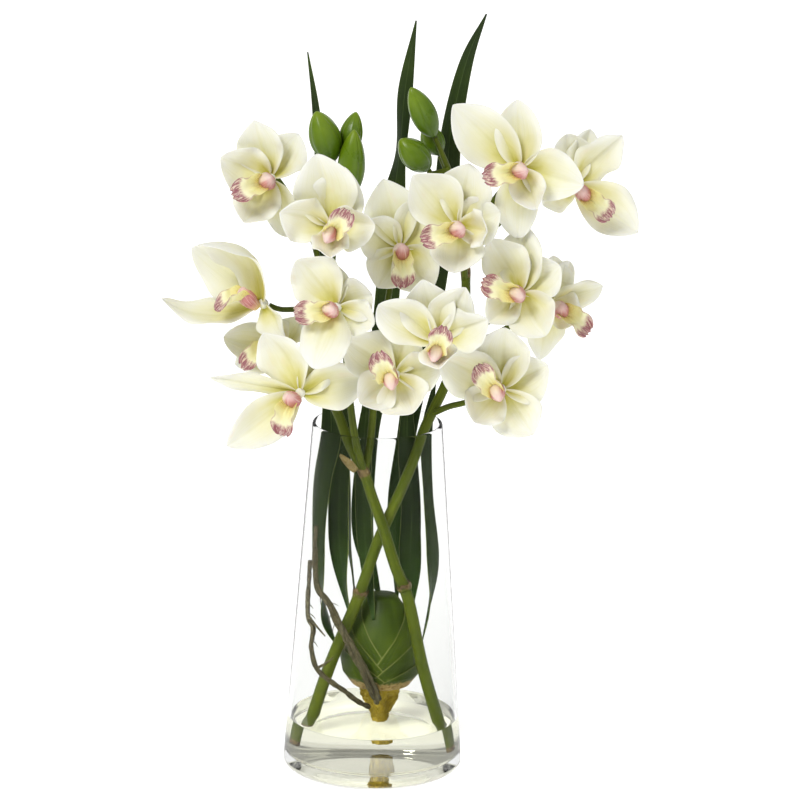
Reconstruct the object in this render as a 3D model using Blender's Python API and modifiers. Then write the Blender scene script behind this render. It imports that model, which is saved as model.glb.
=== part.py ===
"""Orchid arrangement: two cymbidium spikes, a bulb with leaves and roots, in a tapered glass vase of water.

Metres, +Z up. The origin is the centre of the vase's flat underside. The flowers face -Y.
Layout tables are in millimetres and degrees.
"""

import math

import bmesh
import bpy
import numpy as np
from mathutils import Vector

MM = 0.001
CLEARANCE = 0.0004  # gap between pieces that touch

# Vase and the water cast in it
VASE_HEIGHT = 0.264
VASE_FOOT_RADIUS = 0.0665
VASE_RIM_RADIUS = 0.0478
VASE_WALL = 0.0028
VASE_FLOOR = 0.010
VASE_FOOT_ROUND = 0.004
VASE_STEPS = 48
WATER_TOP = 0.038

# The layout below is drawn for this water surface and rim. From the water to the bulb's shoulder it moves
# with the real water surface, and above the rim with the real rim
LAYOUT_WATER = 0.038
LAYOUT_SHOULDER = 0.130
LAYOUT_RIM = 0.264

# Spikes
STEM_RADIUS = 0.0048
STEM_TOP_RADIUS = 0.0030
PEDICEL_RADIUS = 0.0019
SPIKE_STEPS = 22

# Flowers
RECEPTACLE_RADIUS = 0.0038
TEPAL_THICKNESS = 0.0009
TEPAL_LENGTH_STEPS = 5
TEPAL_WIDTH_STEPS = 2
TEPAL_NECK = 0.07  # half width at the base as a share of the width
LIP_LENGTH = 0.031
LIP_ARCH = 0.10  # how far the lip's midline rises towards the column, as a share of its length
LIP_DROP = 0.004  # how far its front edge turns down
LIP_HALF_WIDTH = 0.0105
LIP_SIDE_RISE = 0.0085
LIP_THICKNESS = 0.0010
COLUMN_LENGTH = 0.0175
COLUMN_RADIUS = 0.0050
COLUMN_FOOT_RADIUS = 0.65 * RECEPTACLE_RADIUS

# Leaves
LEAF_THICKNESS = 0.0009
LONG_LEAF_STEPS = 22
SHORT_LEAF_STEPS = 12
LONG_LEAF_TIP = 400  # layout height in mm above which a leaf's tip counts as long
LEAF_FOLD = 0.22  # how far a leaf's edges stand out from its midrib, as a share of its half width

# Bulb and roots
BULB_X = 0.005
BULB_Y = 0.013
BULB_PROFILE = (
    (0.0190, 0.058), (0.0262, 0.068), (0.0285, 0.082), (0.0262, 0.098), (0.0190, 0.114), (0.0110, 0.126),
)
TUFT_PROFILE = ((0.0060, 0.0150), (0.0070, 0.0340), (0.0090, 0.0400), (0.0135, 0.0480), (0.0180, 0.0576))
SHEATH_LIFT = 0.0002
SHEATH_THICKNESS = 0.0034
AERIAL_ROOT_RADIUS = 0.0024
THIN_ROOT_RADIUS = 0.0019
BRACT_THICKNESS = 0.0008
TUFT_FLUTE = 0.07  # depth of the tuft's flutes as a share of its radius

# Flower: centre (mm), azimuth and elevation it faces, its lip (clock angle, lean), then its tepals as
# (clock angle, lean from the facing axis, length, width, cup, bow). Angles in degrees; cup and bow are shares
FLOWERS = {
    "01": ((-79, -20, 449), -14, 10, (207, 42), (
        (108, 79, 43, 34, 0.3, -0.08),
        (158, 59, 40, 34, 0.3, -0.1),
        (64, 103, 38, 32, 0.3, -0.06),
        (248, 62, 39, 36, 0.3, -0.16),
        (287, 111, 47, 26, 0.25, -0.06),
    )),
    "02": ((-36, -58, 422), 0, -5, (60, 42), (
        (101, 91, 54, 44, 0.25, -0.08),
        (160, 71, 39, 34, 0.35, -0.14),
        (273, 26, 30, 26, 0.5, -0.16),
        (11, 67, 35, 32, 0.35, -0.14),
        (77, 103, 44, 40, 0.2, -0.06),
    )),
    "03": ((-83, -20, 356), -66, 22, (267, 22), (
        (105, 22, 67, 50, 0.4, -0.28),
        (158, 40, 68, 42, 0.3, -0.24),
        (226, 26, 74, 24, 0.3, -0.18),
        (212, 47, 65, 18, 0.3, -0.18),
        (313, 122, 29, 26, 0.2, -0.05),
    )),
    "04": ((-31, -66, 366), -22, 6, (187, 34), (
        (129, 74, 45, 40, 0.2, -0.1),
        (262, 60, 48, 40, -0.2, 0.2),
        (25, 112, 27, 32, 0.3, -0.1),
        (341, 101, 30, 26, 0.2, -0.08),
        (111, 111, 34, 26, 0.2, -0.06),
    )),
    "05": ((-56, -42, 295), -22, -6, (262, 42), (
        (116, 81, 53, 38, 0.35, -0.12),
        (166, 65, 66, 14, 0.3, -0.06),
        (218, 56, 65, 32, 0.3, -0.08),
        (51, 115, 36, 24, 0.2, -0.08),
        (13, 111, 54, 34, 0.3, -0.06),
    )),
    "15": ((-69, 8, 315), -40, 20, (244, 36), (
        (184, 44, 46, 30, 0.3, -0.12),
        (147, 63, 28, 30, 0.3, -0.12),
        (209, 66, 40, 26, 0.3, -0.1),
        (88, 107, 27, 26, 0.2, 0),
        (238, 116, 28, 24, 0.2, 0),
    )),
    "06": ((56, -34, 419), -8, 8, (196, 45), (
        (132, 74, 50, 40, 0.3, -0.1),
        (82, 86, 46, 40, 0.3, -0.08),
        (22, 87, 32, 34, 0.3, -0.12),
        (357, 45, 33, 28, 0.4, -0.2),
        (269, 73, 34, 38, 0.3, -0.14),
    )),
    "07": ((99, -28, 461), -6, 8, (189, 45), (
        (137, 77, 68, 40, 0.25, -0.08),
        (94, 86, 50, 34, 0.3, -0.08),
        (348, 90, 47, 36, 0.3, -0.08),
        (297, 56, 35, 26, 0.4, -0.18),
        (269, 102, 53, 30, 0.2, -0.06),
    )),
    "08": ((140, 14, 440), 24, -5, (319, 42), (
        (96, 107, 38, 32, 0.25, -0.08),
        (48, 79, 50, 32, 0.3, -0.12),
        (323, 62, 58, 36, 0.3, -0.12),
        (213, 99, 27, 26, 0.2, -0.06),
        (63, 109, 44, 26, 0.2, -0.06),
    )),
    "09": ((102, -26, 368), -14, 8, (161, 45), (
        (119, 74, 46, 34, 0.3, -0.1),
        (90, 89, 49, 34, 0.3, -0.08),
        (39, 100, 35, 32, 0.3, -0.08),
        (306, 75, 36, 38, 0.3, -0.14),
        (227, 63, 32, 26, 0.3, -0.12),
    )),
    "14": ((124, 26, 347), 35, 5, (313, 40), (
        (76, 91, 37, 32, 0.25, -0.06),
        (19, 63, 42, 22, 0.25, -0.06),
        (333, 55, 25, 28, 0.25, -0.06),
        (266, 101, 43, 30, 0.2, -0.06),
        (52, 91, 38, 24, 0.2, -0.04),
    )),
    "10": ((41, -84, 345), -4, -8, (75, 42), (
        (104, 97, 46, 38, 0.3, -0.12),
        (64, 94, 46, 32, 0.3, -0.12),
        (143, 78, 52, 36, 0.35, -0.14),
        (29, 81, 42, 30, 0.3, -0.14),
        (284, 23, 25, 28, 0.45, -0.16),
    )),
    "11": ((12, -52, 313), -8, 0, (110, 42), (
        (145, 81, 45, 36, 0.25, -0.08),
        (79, 105, 35, 30, 0.2, -0.04),
        (12, 88, 35, 30, 0.3, -0.1),
        (301, 68, 32, 40, 0.3, -0.14),
        (220, 70, 33, 32, 0.3, -0.1),
    )),
    "12": ((89, -56, 304), -10, 6, (123, 42), (
        (89, 84, 45, 40, 0.3, -0.1),
        (30, 96, 38, 36, 0.3, -0.1),
        (308, 89, 40, 38, 0.3, -0.12),
        (234, 60, 33, 34, 0.3, -0.16),
        (152, 70, 52, 38, 0.3, -0.1),
    )),
    "13": ((14, -2, 394), 6, 5, (270, 42), (
        (103, 93, 51, 38, 0.3, -0.08),
        (57, 93, 43, 34, 0.2, -0.06),
        (307, 81, 38, 36, 0.3, -0.1),
        (240, 83, 33, 34, 0.3, -0.1),
        (146, 85, 33, 34, 0.25, -0.08),
    )),
}

# Spike midlines from the cut end up, in mm
RIGHT_SPIKE = (
    (-49, -2, 16), (-45, -4, 36), (-32, -9, 80), (-12, -8, 132), (2, -2, 173), (18, 2, 211), (28, 4, 237),
    (34, 6, 256), (41, 8, 272), (50, 10, 292), (60, 12, 325), (63, 14, 352), (61, 18, 390), (54, 22, 434),
    (47, 24, 450),
)
LEFT_SPIKE = (
    (54, -14, 16), (49, -15, 37), (36, -20, 82), (25, -20, 133), (15, -18, 158), (5, -14, 188),
    (-3, -12, 209), (-9, -12, 227), (-20, -10, 248), (-27, -8, 267), (-34, -6, 285), (-38, 2, 317),
    (-38, 8, 353), (-35, 12, 390), (-32, 12, 428), (-32, 10, 440),
)
MIDDLE_BRANCH = ((-9, -12, 227), (-5, -4, 251), (-3, -4, 282), (0, 0, 320), (6, 8, 352))
SIDE_BRANCH = ((-9, -12, 227), (-15, -17, 250), (-19, -18, 274), (-22, -16, 300), (-24, -16, 322))

# Flower: the spike that bears it, then the points of its pedicel before the flower's back, in mm
PEDICELS = {
    "01": ("left", ((-38, 8, 353), (-52, 8, 405))),
    "02": ("left", ((-38, 8, 353), (-34, -8, 400))),
    "03": ("left", ((-38, 2, 330), (-50, 4, 345))),
    "04": ("left", ((-24, -16, 318), (-24, -24, 342))),
    "05": ("left", ((-32, -6, 278), (-36, -12, 284))),
    "15": ("left", ((-37, 0, 310), (-50, 14, 310))),
    "10": ("middle", ((2, 2, 330), (30, -30, 345))),
    "11": ("middle", ((-3, -4, 282), (2, -20, 300))),
    "13": ("middle", ((6, 8, 352), (10, 14, 380))),
    "06": ("right", ((62, 14, 370), (60, 0, 400))),
    "07": ("right", ((61, 17, 385), (80, 14, 425))),
    "08": ("right", ((61, 17, 385), (100, 30, 420))),
    "09": ("right", ((58, 11, 315), (85, 4, 345))),
    "14": ("right", ((58, 11, 315), (100, 20, 335))),
    "12": ("right", ((39, 8, 268), (52, -3, 277), (66, -14, 284))),
}

# Bud: its spike, the pedicel's first points, the bud's base, its tip and its largest radius, in mm
BUDS = {
    "left_1": ("left", ((-32, 11, 438),), (-35, 8, 456), (-48, 2, 494), 12.0),
    "left_2": ("left", ((-32, 11, 438),), (-26, 14, 458), (-19, 18, 491), 8.5),
    "left_3": ("left", ((-33, 12, 420),), (-24, 4, 428), (-20, -2, 482), 10.5),
    "right_1": ("right", ((48, 24, 450),), (38, 16, 474), (20, 6, 512), 9.5),
    "right_2": ("right", ((49, 24, 448),), (34, 14, 450), (13, 4, 474), 11.0),
    "right_3": ("right", ((47, 24, 448),), (42, 28, 458), (31, 30, 480), 9.0),
}

# Leaf: bearing and height of its base on the bulb (degrees, mm), then points of its midline with the
# half width and the turn of the blade about the midline there (mm, mm, mm, mm, degrees)
LEAVES = {
    "1": (170, 116, (
        (-20, 22, 170, 6, 0), (-28, 24, 248, 6, 10), (-37, 24, 290, 6, 0), (-43, 30, 349, 5, 0),
        (-43, 34, 423, 5, 0), (-48, 32, 486, 3.2, 20), (-55, 28, 533, 0.6, 30),
    )),
    "2": (95, 120, (
        (-10, 27, 172, 8, 0), (-7, 28, 244, 7.5, 0), (1, 32, 300, 9, 0), (6, 36, 360, 9, 0),
        (8, 38, 415, 9, 0), (13, 36, 458, 5, 40), (16, 34, 505, 5.5, 10), (23, 30, 557, 0.6, 0),
    )),
    "3": (50, 118, (
        (15, 26, 185, 8, 0), (21, 26, 244, 7, 0), (30, 32, 300, 9, 0), (40, 38, 360, 9, 0),
        (47, 42, 420, 9, 0), (50, 40, 473, 8, 20), (60, 36, 525, 5, 10), (74, 32, 562, 0.6, 0),
    )),
    "4": (180, 84, (
        (-36, 13, 110, 8, 45), (-41, 10, 148, 6.5, 40), (-42, 8, 180, 6, 30), (-40, 6, 218, 7, 10),
        (-34, 9, 256, 7.5, 10), (-40, 20, 305, 0.8, 0),
    )),
    "5": (200, 110, (
        (-25, 12, 146, 7.5, 20), (-28, 14, 185, 8, 15), (-27, 15, 224, 7.5, 15), (-24, 12, 254, 6, 10),
        (-20, 14, 290, 0.8, 0),
    )),
    "6": (0, 90, (
        (41, 13, 125, 6.5, -35), (42, 11, 160, 6, -35), (38, 12, 205, 4.5, -35), (36, 14, 252, 4.5, -20),
        (42, 28, 290, 0.8, 0),
    )),
    "7": (15, 110, (
        (26, 15, 150, 8, -20), (26, 14, 195, 7.5, -10), (22, 9, 246, 6.5, 0), (22, 17, 292, 0.8, 0),
    )),
    "8": (250, 114, (
        (-8, 12, 160, 6, 20), (-11, 15, 205, 6, 10), (-11, 14, 246, 6, 0), (-8, 20, 292, 0.8, 0),
    )),
}

# Sheath scales on the bulb: bearing (degrees), foot and tip height (mm), half width as an angle (degrees)
SHEATHS = ((-90, 60, 104, 42), (-25, 62, 112, 40), (-160, 62, 110, 40), (45, 60, 106, 42), (125, 61, 108, 42))

# Aerial roots in mm, down to the root tuft, and where each meets it: bearing (degrees) and height (mm)
TWISTED_ROOT = (
    (-43, -12, 186), (-44, -14, 168), (-42, -20, 143), (-33, -24, 130), (-23, -28, 112), (-15, -29, 96),
    (-7, -25, 80), (-1, -19, 67), (2, -13, 58),
)
TWISTED_ROOT_FOOT = (-95, 51)
THIN_ROOT = (
    (-48, -4, 158), (-49, -6, 141), (-49, -12, 118), (-45, -16, 109), (-46, -20, 96), (-42, -24, 81),
    (-30, -24, 70), (-19, -15, 59), (-11, -7, 50),
)
THIN_ROOT_FOOT = (-128, 43)
THIN_ROOT_BRANCHES = (
    ((-49, -12, 118), (-43, -20, 113), (-36, -24, 106)),
    ((-42, -24, 81), (-35, -23, 85), (-30, -22, 89)),
)

# Dried bract in the left spike's fork: foot, tip (mm) and half width (mm)
BRACT = ((-15, -19.5, 231), (-27, -22, 244), 4.0)

COLOURS = {
    "glass": ((0.90, 0.95, 0.93), 0.0, 0.03),
    "water": ((0.93, 0.94, 0.84), 0.0, 0.02),
    "stem": ((0.16, 0.27, 0.04), 0.0, 0.45),
    "leaf": ((0.045, 0.10, 0.03), 0.0, 0.45),
    "bulb": ((0.13, 0.25, 0.04), 0.0, 0.40),
    "tuft": ((0.48, 0.33, 0.12), 0.0, 0.85),
    "root": ((0.20, 0.17, 0.12), 0.0, 0.85),
    "bract": ((0.42, 0.30, 0.14), 0.0, 0.80),
    "tepal": ((0.88, 0.87, 0.72), 0.0, 0.55),
    "lip": ((0.80, 0.55, 0.42), 0.0, 0.50),
    "bud": ((0.16, 0.36, 0.03), 0.0, 0.25),
}


def clear_scene():
    for obj in list(bpy.data.objects):
        bpy.data.objects.remove(obj, do_unlink=True)


def new_collection(name, helper=False):
    collection = bpy.data.collections.new(name)
    bpy.context.scene.collection.children.link(collection)
    collection.hide_render = helper
    return collection


def own_material(name, kind):
    colour, metallic, roughness = COLOURS[kind]
    material = bpy.data.materials.new(name + "_material")
    material.use_nodes = True
    shader = material.node_tree.nodes["Principled BSDF"]
    shader.inputs["Base Color"].default_value = (*colour, 1.0)
    shader.inputs["Metallic"].default_value = metallic
    shader.inputs["Roughness"].default_value = roughness
    if kind in ("glass", "water"):
        shader.inputs["Transmission Weight"].default_value = 1.0
    return material


def add_object(name, data, kind, collection):
    obj = bpy.data.objects.new(name, data)
    data.materials.append(own_material(name, kind))
    collection.objects.link(obj)
    return obj


def add_helper(name, data, collection):
    obj = bpy.data.objects.new(name, data)
    obj.hide_render = True
    obj.display_type = "WIRE"
    collection.objects.link(obj)
    return obj


def shade_smooth(mesh):
    mesh.polygons.foreach_set("use_smooth", [True] * len(mesh.polygons))


def unit(vector):
    vector = np.asarray(vector, float)
    return vector / np.linalg.norm(vector)


def raised(height):
    """The real height of a layout height, both in metres."""
    heights = (0.0, LAYOUT_WATER, LAYOUT_SHOULDER, LAYOUT_RIM)
    water, rim = WATER_TOP - LAYOUT_WATER, VASE_HEIGHT - LAYOUT_RIM
    return height + np.interp(height, heights, (0.0, water, water, rim))


def placed(points):
    """Layout points in mm as real points in metres."""
    points = np.array(points, float) * MM
    points[..., 2] = raised(points[..., 2])
    return points


def smooth_path(points, steps):
    """Points evenly along a Catmull-Rom curve through the given rows; further columns are carried along."""
    rows = np.asarray(points, float)
    rows = np.vstack([2 * rows[0] - rows[1], rows, 2 * rows[-1] - rows[-2]])
    fine = []
    for i in range(1, len(rows) - 2):
        a, b, c, d = rows[i - 1 : i + 3]
        square, cube = 2 * a - 5 * b + 4 * c - d, 3 * b - a - 3 * c + d
        for t in np.linspace(0, 1, 24, endpoint=False):
            fine.append(0.5 * (2 * b + (c - a) * t + square * t**2 + cube * t**3))
    fine = np.array(fine + [rows[-2]])
    run = np.concatenate([[0], np.cumsum(np.linalg.norm(np.diff(fine[:, :3], axis=0), axis=1))])
    at = np.linspace(0, run[-1], steps + 1)
    return np.stack([np.interp(at, run, fine[:, k]) for k in range(fine.shape[1])], axis=1)


def tube_curve(name, points, radii, sides=2):
    """A curve with a round bevel; sides is the bevel resolution."""
    curve = bpy.data.curves.new(name, "CURVE")
    curve.dimensions = "3D"
    curve.bevel_depth = 1.0
    curve.bevel_resolution = sides
    curve.use_fill_caps = True
    spline = curve.splines.new("POLY")
    spline.points.add(len(points) - 1)
    for point, place, radius in zip(spline.points, points, radii):
        point.co = (*place, 1.0)
        point.radius = radius
    return curve


def tube_mesh(name, points, radii, sides=2):
    """The same tube as a closed mesh, with its caps welded on."""
    curve = tube_curve(name, points, radii, sides)
    carrier = bpy.data.objects.new(name, curve)
    bpy.context.scene.collection.objects.link(carrier)
    graph = bpy.context.evaluated_depsgraph_get()
    mesh = bpy.data.meshes.new_from_object(carrier.evaluated_get(graph))
    bpy.data.objects.remove(carrier, do_unlink=True)
    bpy.data.curves.remove(curve)
    weld(mesh)
    return mesh


def weld(mesh):
    body = bmesh.new()
    body.from_mesh(mesh)
    bmesh.ops.remove_doubles(body, verts=body.verts, dist=0.00001)
    bmesh.ops.recalc_face_normals(body, faces=body.faces)
    body.to_mesh(mesh)
    body.free()
    shade_smooth(mesh)


def joined_mesh(name, meshes):
    """One mesh holding several closed shells, for a Boolean to make into one body."""
    body = bmesh.new()
    for mesh in meshes:
        body.from_mesh(mesh)
        bpy.data.meshes.remove(mesh)
    joined = bpy.data.meshes.new(name)
    body.to_mesh(joined)
    body.free()
    shade_smooth(joined)
    return joined


def sheet_mesh(name, rows):
    """A sheet through rows of points, each row running across it."""
    across = len(rows[0])
    points = [tuple(point) for row in rows for point in row]
    faces = []
    for i in range(len(rows) - 1):
        for j in range(across - 1):
            first = i * across + j
            faces.append((first, first + 1, first + across + 1, first + across))
    mesh = bpy.data.meshes.new(name)
    mesh.from_pydata(points, [], faces)
    shade_smooth(mesh)
    return mesh


def solidify(obj, thickness):
    shell = obj.modifiers.new("thickness", "SOLIDIFY")
    shell.thickness = thickness
    shell.offset = 0.0
    shell.use_even_offset = False
    return shell


def solid_sheet(name, rows, thickness):
    """The sheet given its thickness, as a closed mesh."""
    carrier = bpy.data.objects.new(name, sheet_mesh(name, rows))
    bpy.context.scene.collection.objects.link(carrier)
    solidify(carrier, thickness)
    graph = bpy.context.evaluated_depsgraph_get()
    mesh = bpy.data.meshes.new_from_object(carrier.evaluated_get(graph))
    sheet = carrier.data
    bpy.data.objects.remove(carrier, do_unlink=True)
    bpy.data.meshes.remove(sheet)
    return mesh


def turned_mesh(name, profile, steps, squash=None):
    """A body turned about Z from (radius, height) points that start and end on the axis."""
    body = bmesh.new()
    ring = [body.verts.new((radius, 0, height)) for radius, height in profile]
    for a, b in zip(ring, ring[1:]):
        body.edges.new((a, b))
    bmesh.ops.spin(body, geom=body.verts[:] + body.edges[:], axis=(0, 0, 1), cent=(0, 0, 0), dvec=(0, 0, 0),
                   angle=2 * math.pi, steps=steps, use_merge=True)
    bmesh.ops.remove_doubles(body, verts=body.verts, dist=0.00001)
    bmesh.ops.recalc_face_normals(body, faces=body.faces)
    if squash:
        for vert in body.verts:
            squash(vert)
    mesh = bpy.data.meshes.new(name)
    body.to_mesh(mesh)
    body.free()
    shade_smooth(mesh)
    return mesh


def unite(obj, others, collection, itself=False):
    """Adds the other closed shells to the object as one body."""
    helper = add_helper(obj.name + "_addition", others, collection)
    boolean = obj.modifiers.new("union", "BOOLEAN")
    boolean.operation = "UNION"
    boolean.solver = "EXACT"
    boolean.use_self = itself
    boolean.object = helper


def subtract(obj, tool, collection):
    helper = add_helper(obj.name + "_cutter", tool, collection)
    boolean = obj.modifiers.new("cut", "BOOLEAN")
    boolean.operation = "DIFFERENCE"
    boolean.solver = "EXACT"
    boolean.use_self = True
    boolean.object = helper


# Vase and water ------------------------------------------------------------------------------------------

def vase_radius(height):
    """The vase's outer radius at a height."""
    share = (height - VASE_FOOT_ROUND) / (VASE_HEIGHT - VASE_FOOT_ROUND)
    return VASE_FOOT_RADIUS + (VASE_RIM_RADIUS - VASE_FOOT_RADIUS) * share


def make_vase(parts):
    inner_foot = vase_radius(VASE_FLOOR) - VASE_WALL
    profile = (
        (0.0, 0.0),
        (VASE_FOOT_RADIUS - VASE_FOOT_ROUND, 0.0),
        (VASE_FOOT_RADIUS - 0.3 * VASE_FOOT_ROUND, 0.3 * VASE_FOOT_ROUND),
        (VASE_FOOT_RADIUS, VASE_FOOT_ROUND),
        (VASE_RIM_RADIUS, VASE_HEIGHT - 0.5 * VASE_WALL),
        (VASE_RIM_RADIUS - 0.5 * VASE_WALL, VASE_HEIGHT),
        (VASE_RIM_RADIUS - VASE_WALL, VASE_HEIGHT - 0.5 * VASE_WALL),
        (inner_foot, VASE_FLOOR + 0.002),
        (inner_foot - 0.003, VASE_FLOOR),
        (0.0, VASE_FLOOR),
    )
    add_object("glass_vase", turned_mesh("glass_vase", profile, VASE_STEPS), "glass", parts)


def make_water(parts, helpers):
    foot = VASE_FLOOR + CLEARANCE
    low = vase_radius(VASE_FLOOR) - VASE_WALL - 0.003 - CLEARANCE
    mid = vase_radius(VASE_FLOOR + 0.003) - VASE_WALL - CLEARANCE
    top = vase_radius(WATER_TOP) - VASE_WALL - CLEARANCE
    profile = ((0.0, foot), (low, foot), (mid, foot + 0.003), (top, WATER_TOP), (0.0, WATER_TOP))
    water = add_object("cast_water", turned_mesh("cast_water", profile, VASE_STEPS), "water", parts)
    pockets = [pocket_mesh(path) for path in (RIGHT_SPIKE, LEFT_SPIKE)]
    pockets.append(tuft_pocket())
    subtract(water, joined_mesh("cast_water_pockets", pockets), helpers)


def pocket_mesh(path):
    """The room a cut stem end takes in the water."""
    points = placed(path[:4])
    start = points[0] + unit(points[0] - points[1]) * CLEARANCE
    run = np.vstack([start, points[1:3]])
    return tube_mesh("pocket", run, [STEM_RADIUS + CLEARANCE] * len(run))


# Spikes --------------------------------------------------------------------------------------------------

def flower_frame(azimuth, elevation):
    """The way a flower faces, its right and its up."""
    turn, tilt = math.radians(azimuth), math.radians(elevation)
    facing = np.array([math.sin(turn) * math.cos(tilt), -math.cos(turn) * math.cos(tilt), math.sin(tilt)])
    right = np.array([math.cos(turn), math.sin(turn), 0.0])
    return facing, right, np.cross(facing, right)


def flower_back(name):
    """Where a flower's pedicel ends, and the point before it."""
    centre, azimuth, elevation = FLOWERS[name][:3]
    facing = flower_frame(azimuth, elevation)[0]
    end = placed(centre) - facing * (RECEPTACLE_RADIUS + CLEARANCE)
    return end - facing * 0.010, end


def tapered_tube(points, start, end, sides=1):
    return tube_mesh("tube", points, np.linspace(start, end, len(points)), sides)


def pedicel_meshes(spike):
    meshes = []
    for name, (bearer, path) in PEDICELS.items():
        if bearer == spike:
            before, end = flower_back(name)
            points = smooth_path([*placed(path), before, end], 7)
            meshes.append(tapered_tube(points, 1.25 * PEDICEL_RADIUS, PEDICEL_RADIUS))
    for bearer, path, base, tip, _ in BUDS.values():
        if bearer == spike:
            base, tip = placed(base), placed(tip)
            end = base - unit(tip - base) * CLEARANCE
            before = end - unit(tip - base) * 0.004
            points = smooth_path([*placed(path), before, end], 4)
            meshes.append(tapered_tube(points, 1.2 * PEDICEL_RADIUS, PEDICEL_RADIUS))
    return meshes


def make_spike(name, path, bearers, branches, parts, helpers):
    main = tapered_tube(smooth_path(placed(path), SPIKE_STEPS), STEM_RADIUS, STEM_TOP_RADIUS, 2)
    spike = add_object(name, main, "stem", parts)
    others = []
    for branch in branches:
        others.append(tapered_tube(smooth_path(placed(branch), 7), STEM_TOP_RADIUS, 1.3 * PEDICEL_RADIUS, 2))
    for bearer in bearers:
        others += pedicel_meshes(bearer)
    unite(spike, joined_mesh(name + "_branches", others), helpers, itself=True)


# Flowers -------------------------------------------------------------------------------------------------

def tepal_half_width(t):
    """Half width along a tepal as a share of its width: a narrow neck, broad middle and pointed tip."""
    swell = math.sin(math.pi * t**0.92) ** 0.80 if 0 < t < 1 else 0.0
    return 0.5 * swell + TEPAL_NECK * (1 - t) ** 2


def blade_axes(frame, clock, lean):
    """A blade's direction, the way its inner face looks, and its side."""
    facing, right, up = frame
    turn, tilt = math.radians(clock), math.radians(lean)
    outward = math.cos(turn) * right + math.sin(turn) * up
    along = math.cos(tilt) * facing + math.sin(tilt) * outward
    inward = math.sin(tilt) * facing - math.cos(tilt) * outward
    return along, inward, np.cross(along, inward)


def tepal_rows(centre, frame, tepal, length_steps, width_steps):
    """Rows of points over one tepal."""
    clock, lean, length, width, cup, bow = tepal
    along, inward, side = blade_axes(frame, clock, lean)
    rows = []
    for i in range(length_steps + 1):
        t = i / length_steps
        bend = bow * length * MM * 4 * t * (1 - t)
        middle = centre + along * (length * MM * (0.03 + 0.97 * t)) + inward * bend
        half = max(tepal_half_width(t) * width * MM, 0.0006)
        across = np.linspace(-1, 1, width_steps + 1)
        rows.append([middle + side * half * s + inward * half * cup * s * s for s in across])
    return rows


def make_tepals(name, flower, parts, helpers):
    centre, azimuth, elevation, _, tepals = flower
    centre = placed(centre)
    frame = flower_frame(azimuth, elevation)
    body = bmesh.new()
    bmesh.ops.create_icosphere(body, subdivisions=2, radius=RECEPTACLE_RADIUS)
    mesh = bpy.data.meshes.new(name)
    body.to_mesh(mesh)
    body.free()
    shade_smooth(mesh)
    receptacle = add_object(name, mesh, "tepal", parts)
    receptacle.location = centre
    blades = []
    for tepal in tepals:
        rows = tepal_rows(np.zeros(3), frame, tepal, TEPAL_LENGTH_STEPS, TEPAL_WIDTH_STEPS)
        blades.append(solid_sheet("tepal", rows, TEPAL_THICKNESS))
    unite(receptacle, joined_mesh(name + "_blades", blades), helpers, itself=True)
    helpers.objects[name + "_addition"].location = centre


def lip_rows(base, frame, clock, lean, length_steps, width_steps):
    """Rows of points over a lip: a trough that reaches forward and turns down at its front edge."""
    along, inward, side = blade_axes(frame, clock, lean)
    rows = []
    for i in range(length_steps + 1):
        t = i / length_steps
        bend = LIP_ARCH * LIP_LENGTH * 4 * t * (1 - t) - LIP_DROP * t**4
        middle = base + along * (LIP_LENGTH * t) + inward * bend
        half = LIP_HALF_WIDTH * (0.34 + 0.80 * t - 0.28 * t**3)
        rise = LIP_SIDE_RISE * (0.15 + 2.2 * t - 2.1 * t * t)
        across = np.linspace(-1, 1, width_steps + 1)
        rows.append([middle + side * half * s + inward * rise * s * s for s in across])
    return rows


def make_lip(name, flower, parts, helpers):
    centre, azimuth, elevation, (clock, lean), _ = flower
    frame = flower_frame(azimuth, elevation)
    facing = frame[0]
    down = blade_axes(frame, clock, 90)[0]
    base = np.zeros(3)
    arch = ((0.006, -0.002), (0.011, -0.002), (COLUMN_LENGTH, 0.001))
    column = [base, *[facing * forward + down * drop for forward, drop in arch]]
    radii = [COLUMN_FOOT_RADIUS, COLUMN_RADIUS, COLUMN_RADIUS * 1.05, COLUMN_RADIUS * 0.75]
    lip = add_object(name, tube_mesh(name, column, radii, 1), "lip", parts)
    lip.location = placed(centre) + facing * (RECEPTACLE_RADIUS + CLEARANCE)
    rows = lip_rows(facing * 0.0016, frame, clock, lean, 4, 4)
    unite(lip, solid_sheet(name + "_trough", rows, LIP_THICKNESS), helpers)
    helpers.objects[name + "_addition"].location = lip.location


def make_bud(name, bud, parts):
    _, _, base, tip, radius = bud
    base, tip = placed(base), placed(tip)
    length = float(np.linalg.norm(tip - base))
    radius *= MM
    profile = [(0.0, 0.0)]
    for t in (0.02, 0.12, 0.30, 0.50, 0.72, 0.90):
        profile.append((radius * math.sin(math.pi * min(t, 1) ** 0.9) ** 0.65, length * t))
    profile.append((0.0, length))
    obj = add_object(name, turned_mesh(name, profile, 12), "bud", parts)
    obj.location = base
    obj.rotation_mode = "QUATERNION"
    obj.rotation_quaternion = Vector(tip - base).to_track_quat("Z", "Y")


# Leaves, bulb and roots ----------------------------------------------------------------------------------

def bulb_radius(height):
    radii, heights = zip(*BULB_PROFILE)
    return float(np.interp(height, raised(heights), radii))


def bulb_point(bearing, height, lift):
    """A point above the bulb's surface."""
    turn = math.radians(bearing)
    reach = bulb_radius(height) + lift
    return np.array([BULB_X + reach * math.cos(turn), BULB_Y + reach * math.sin(turn), height])


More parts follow.
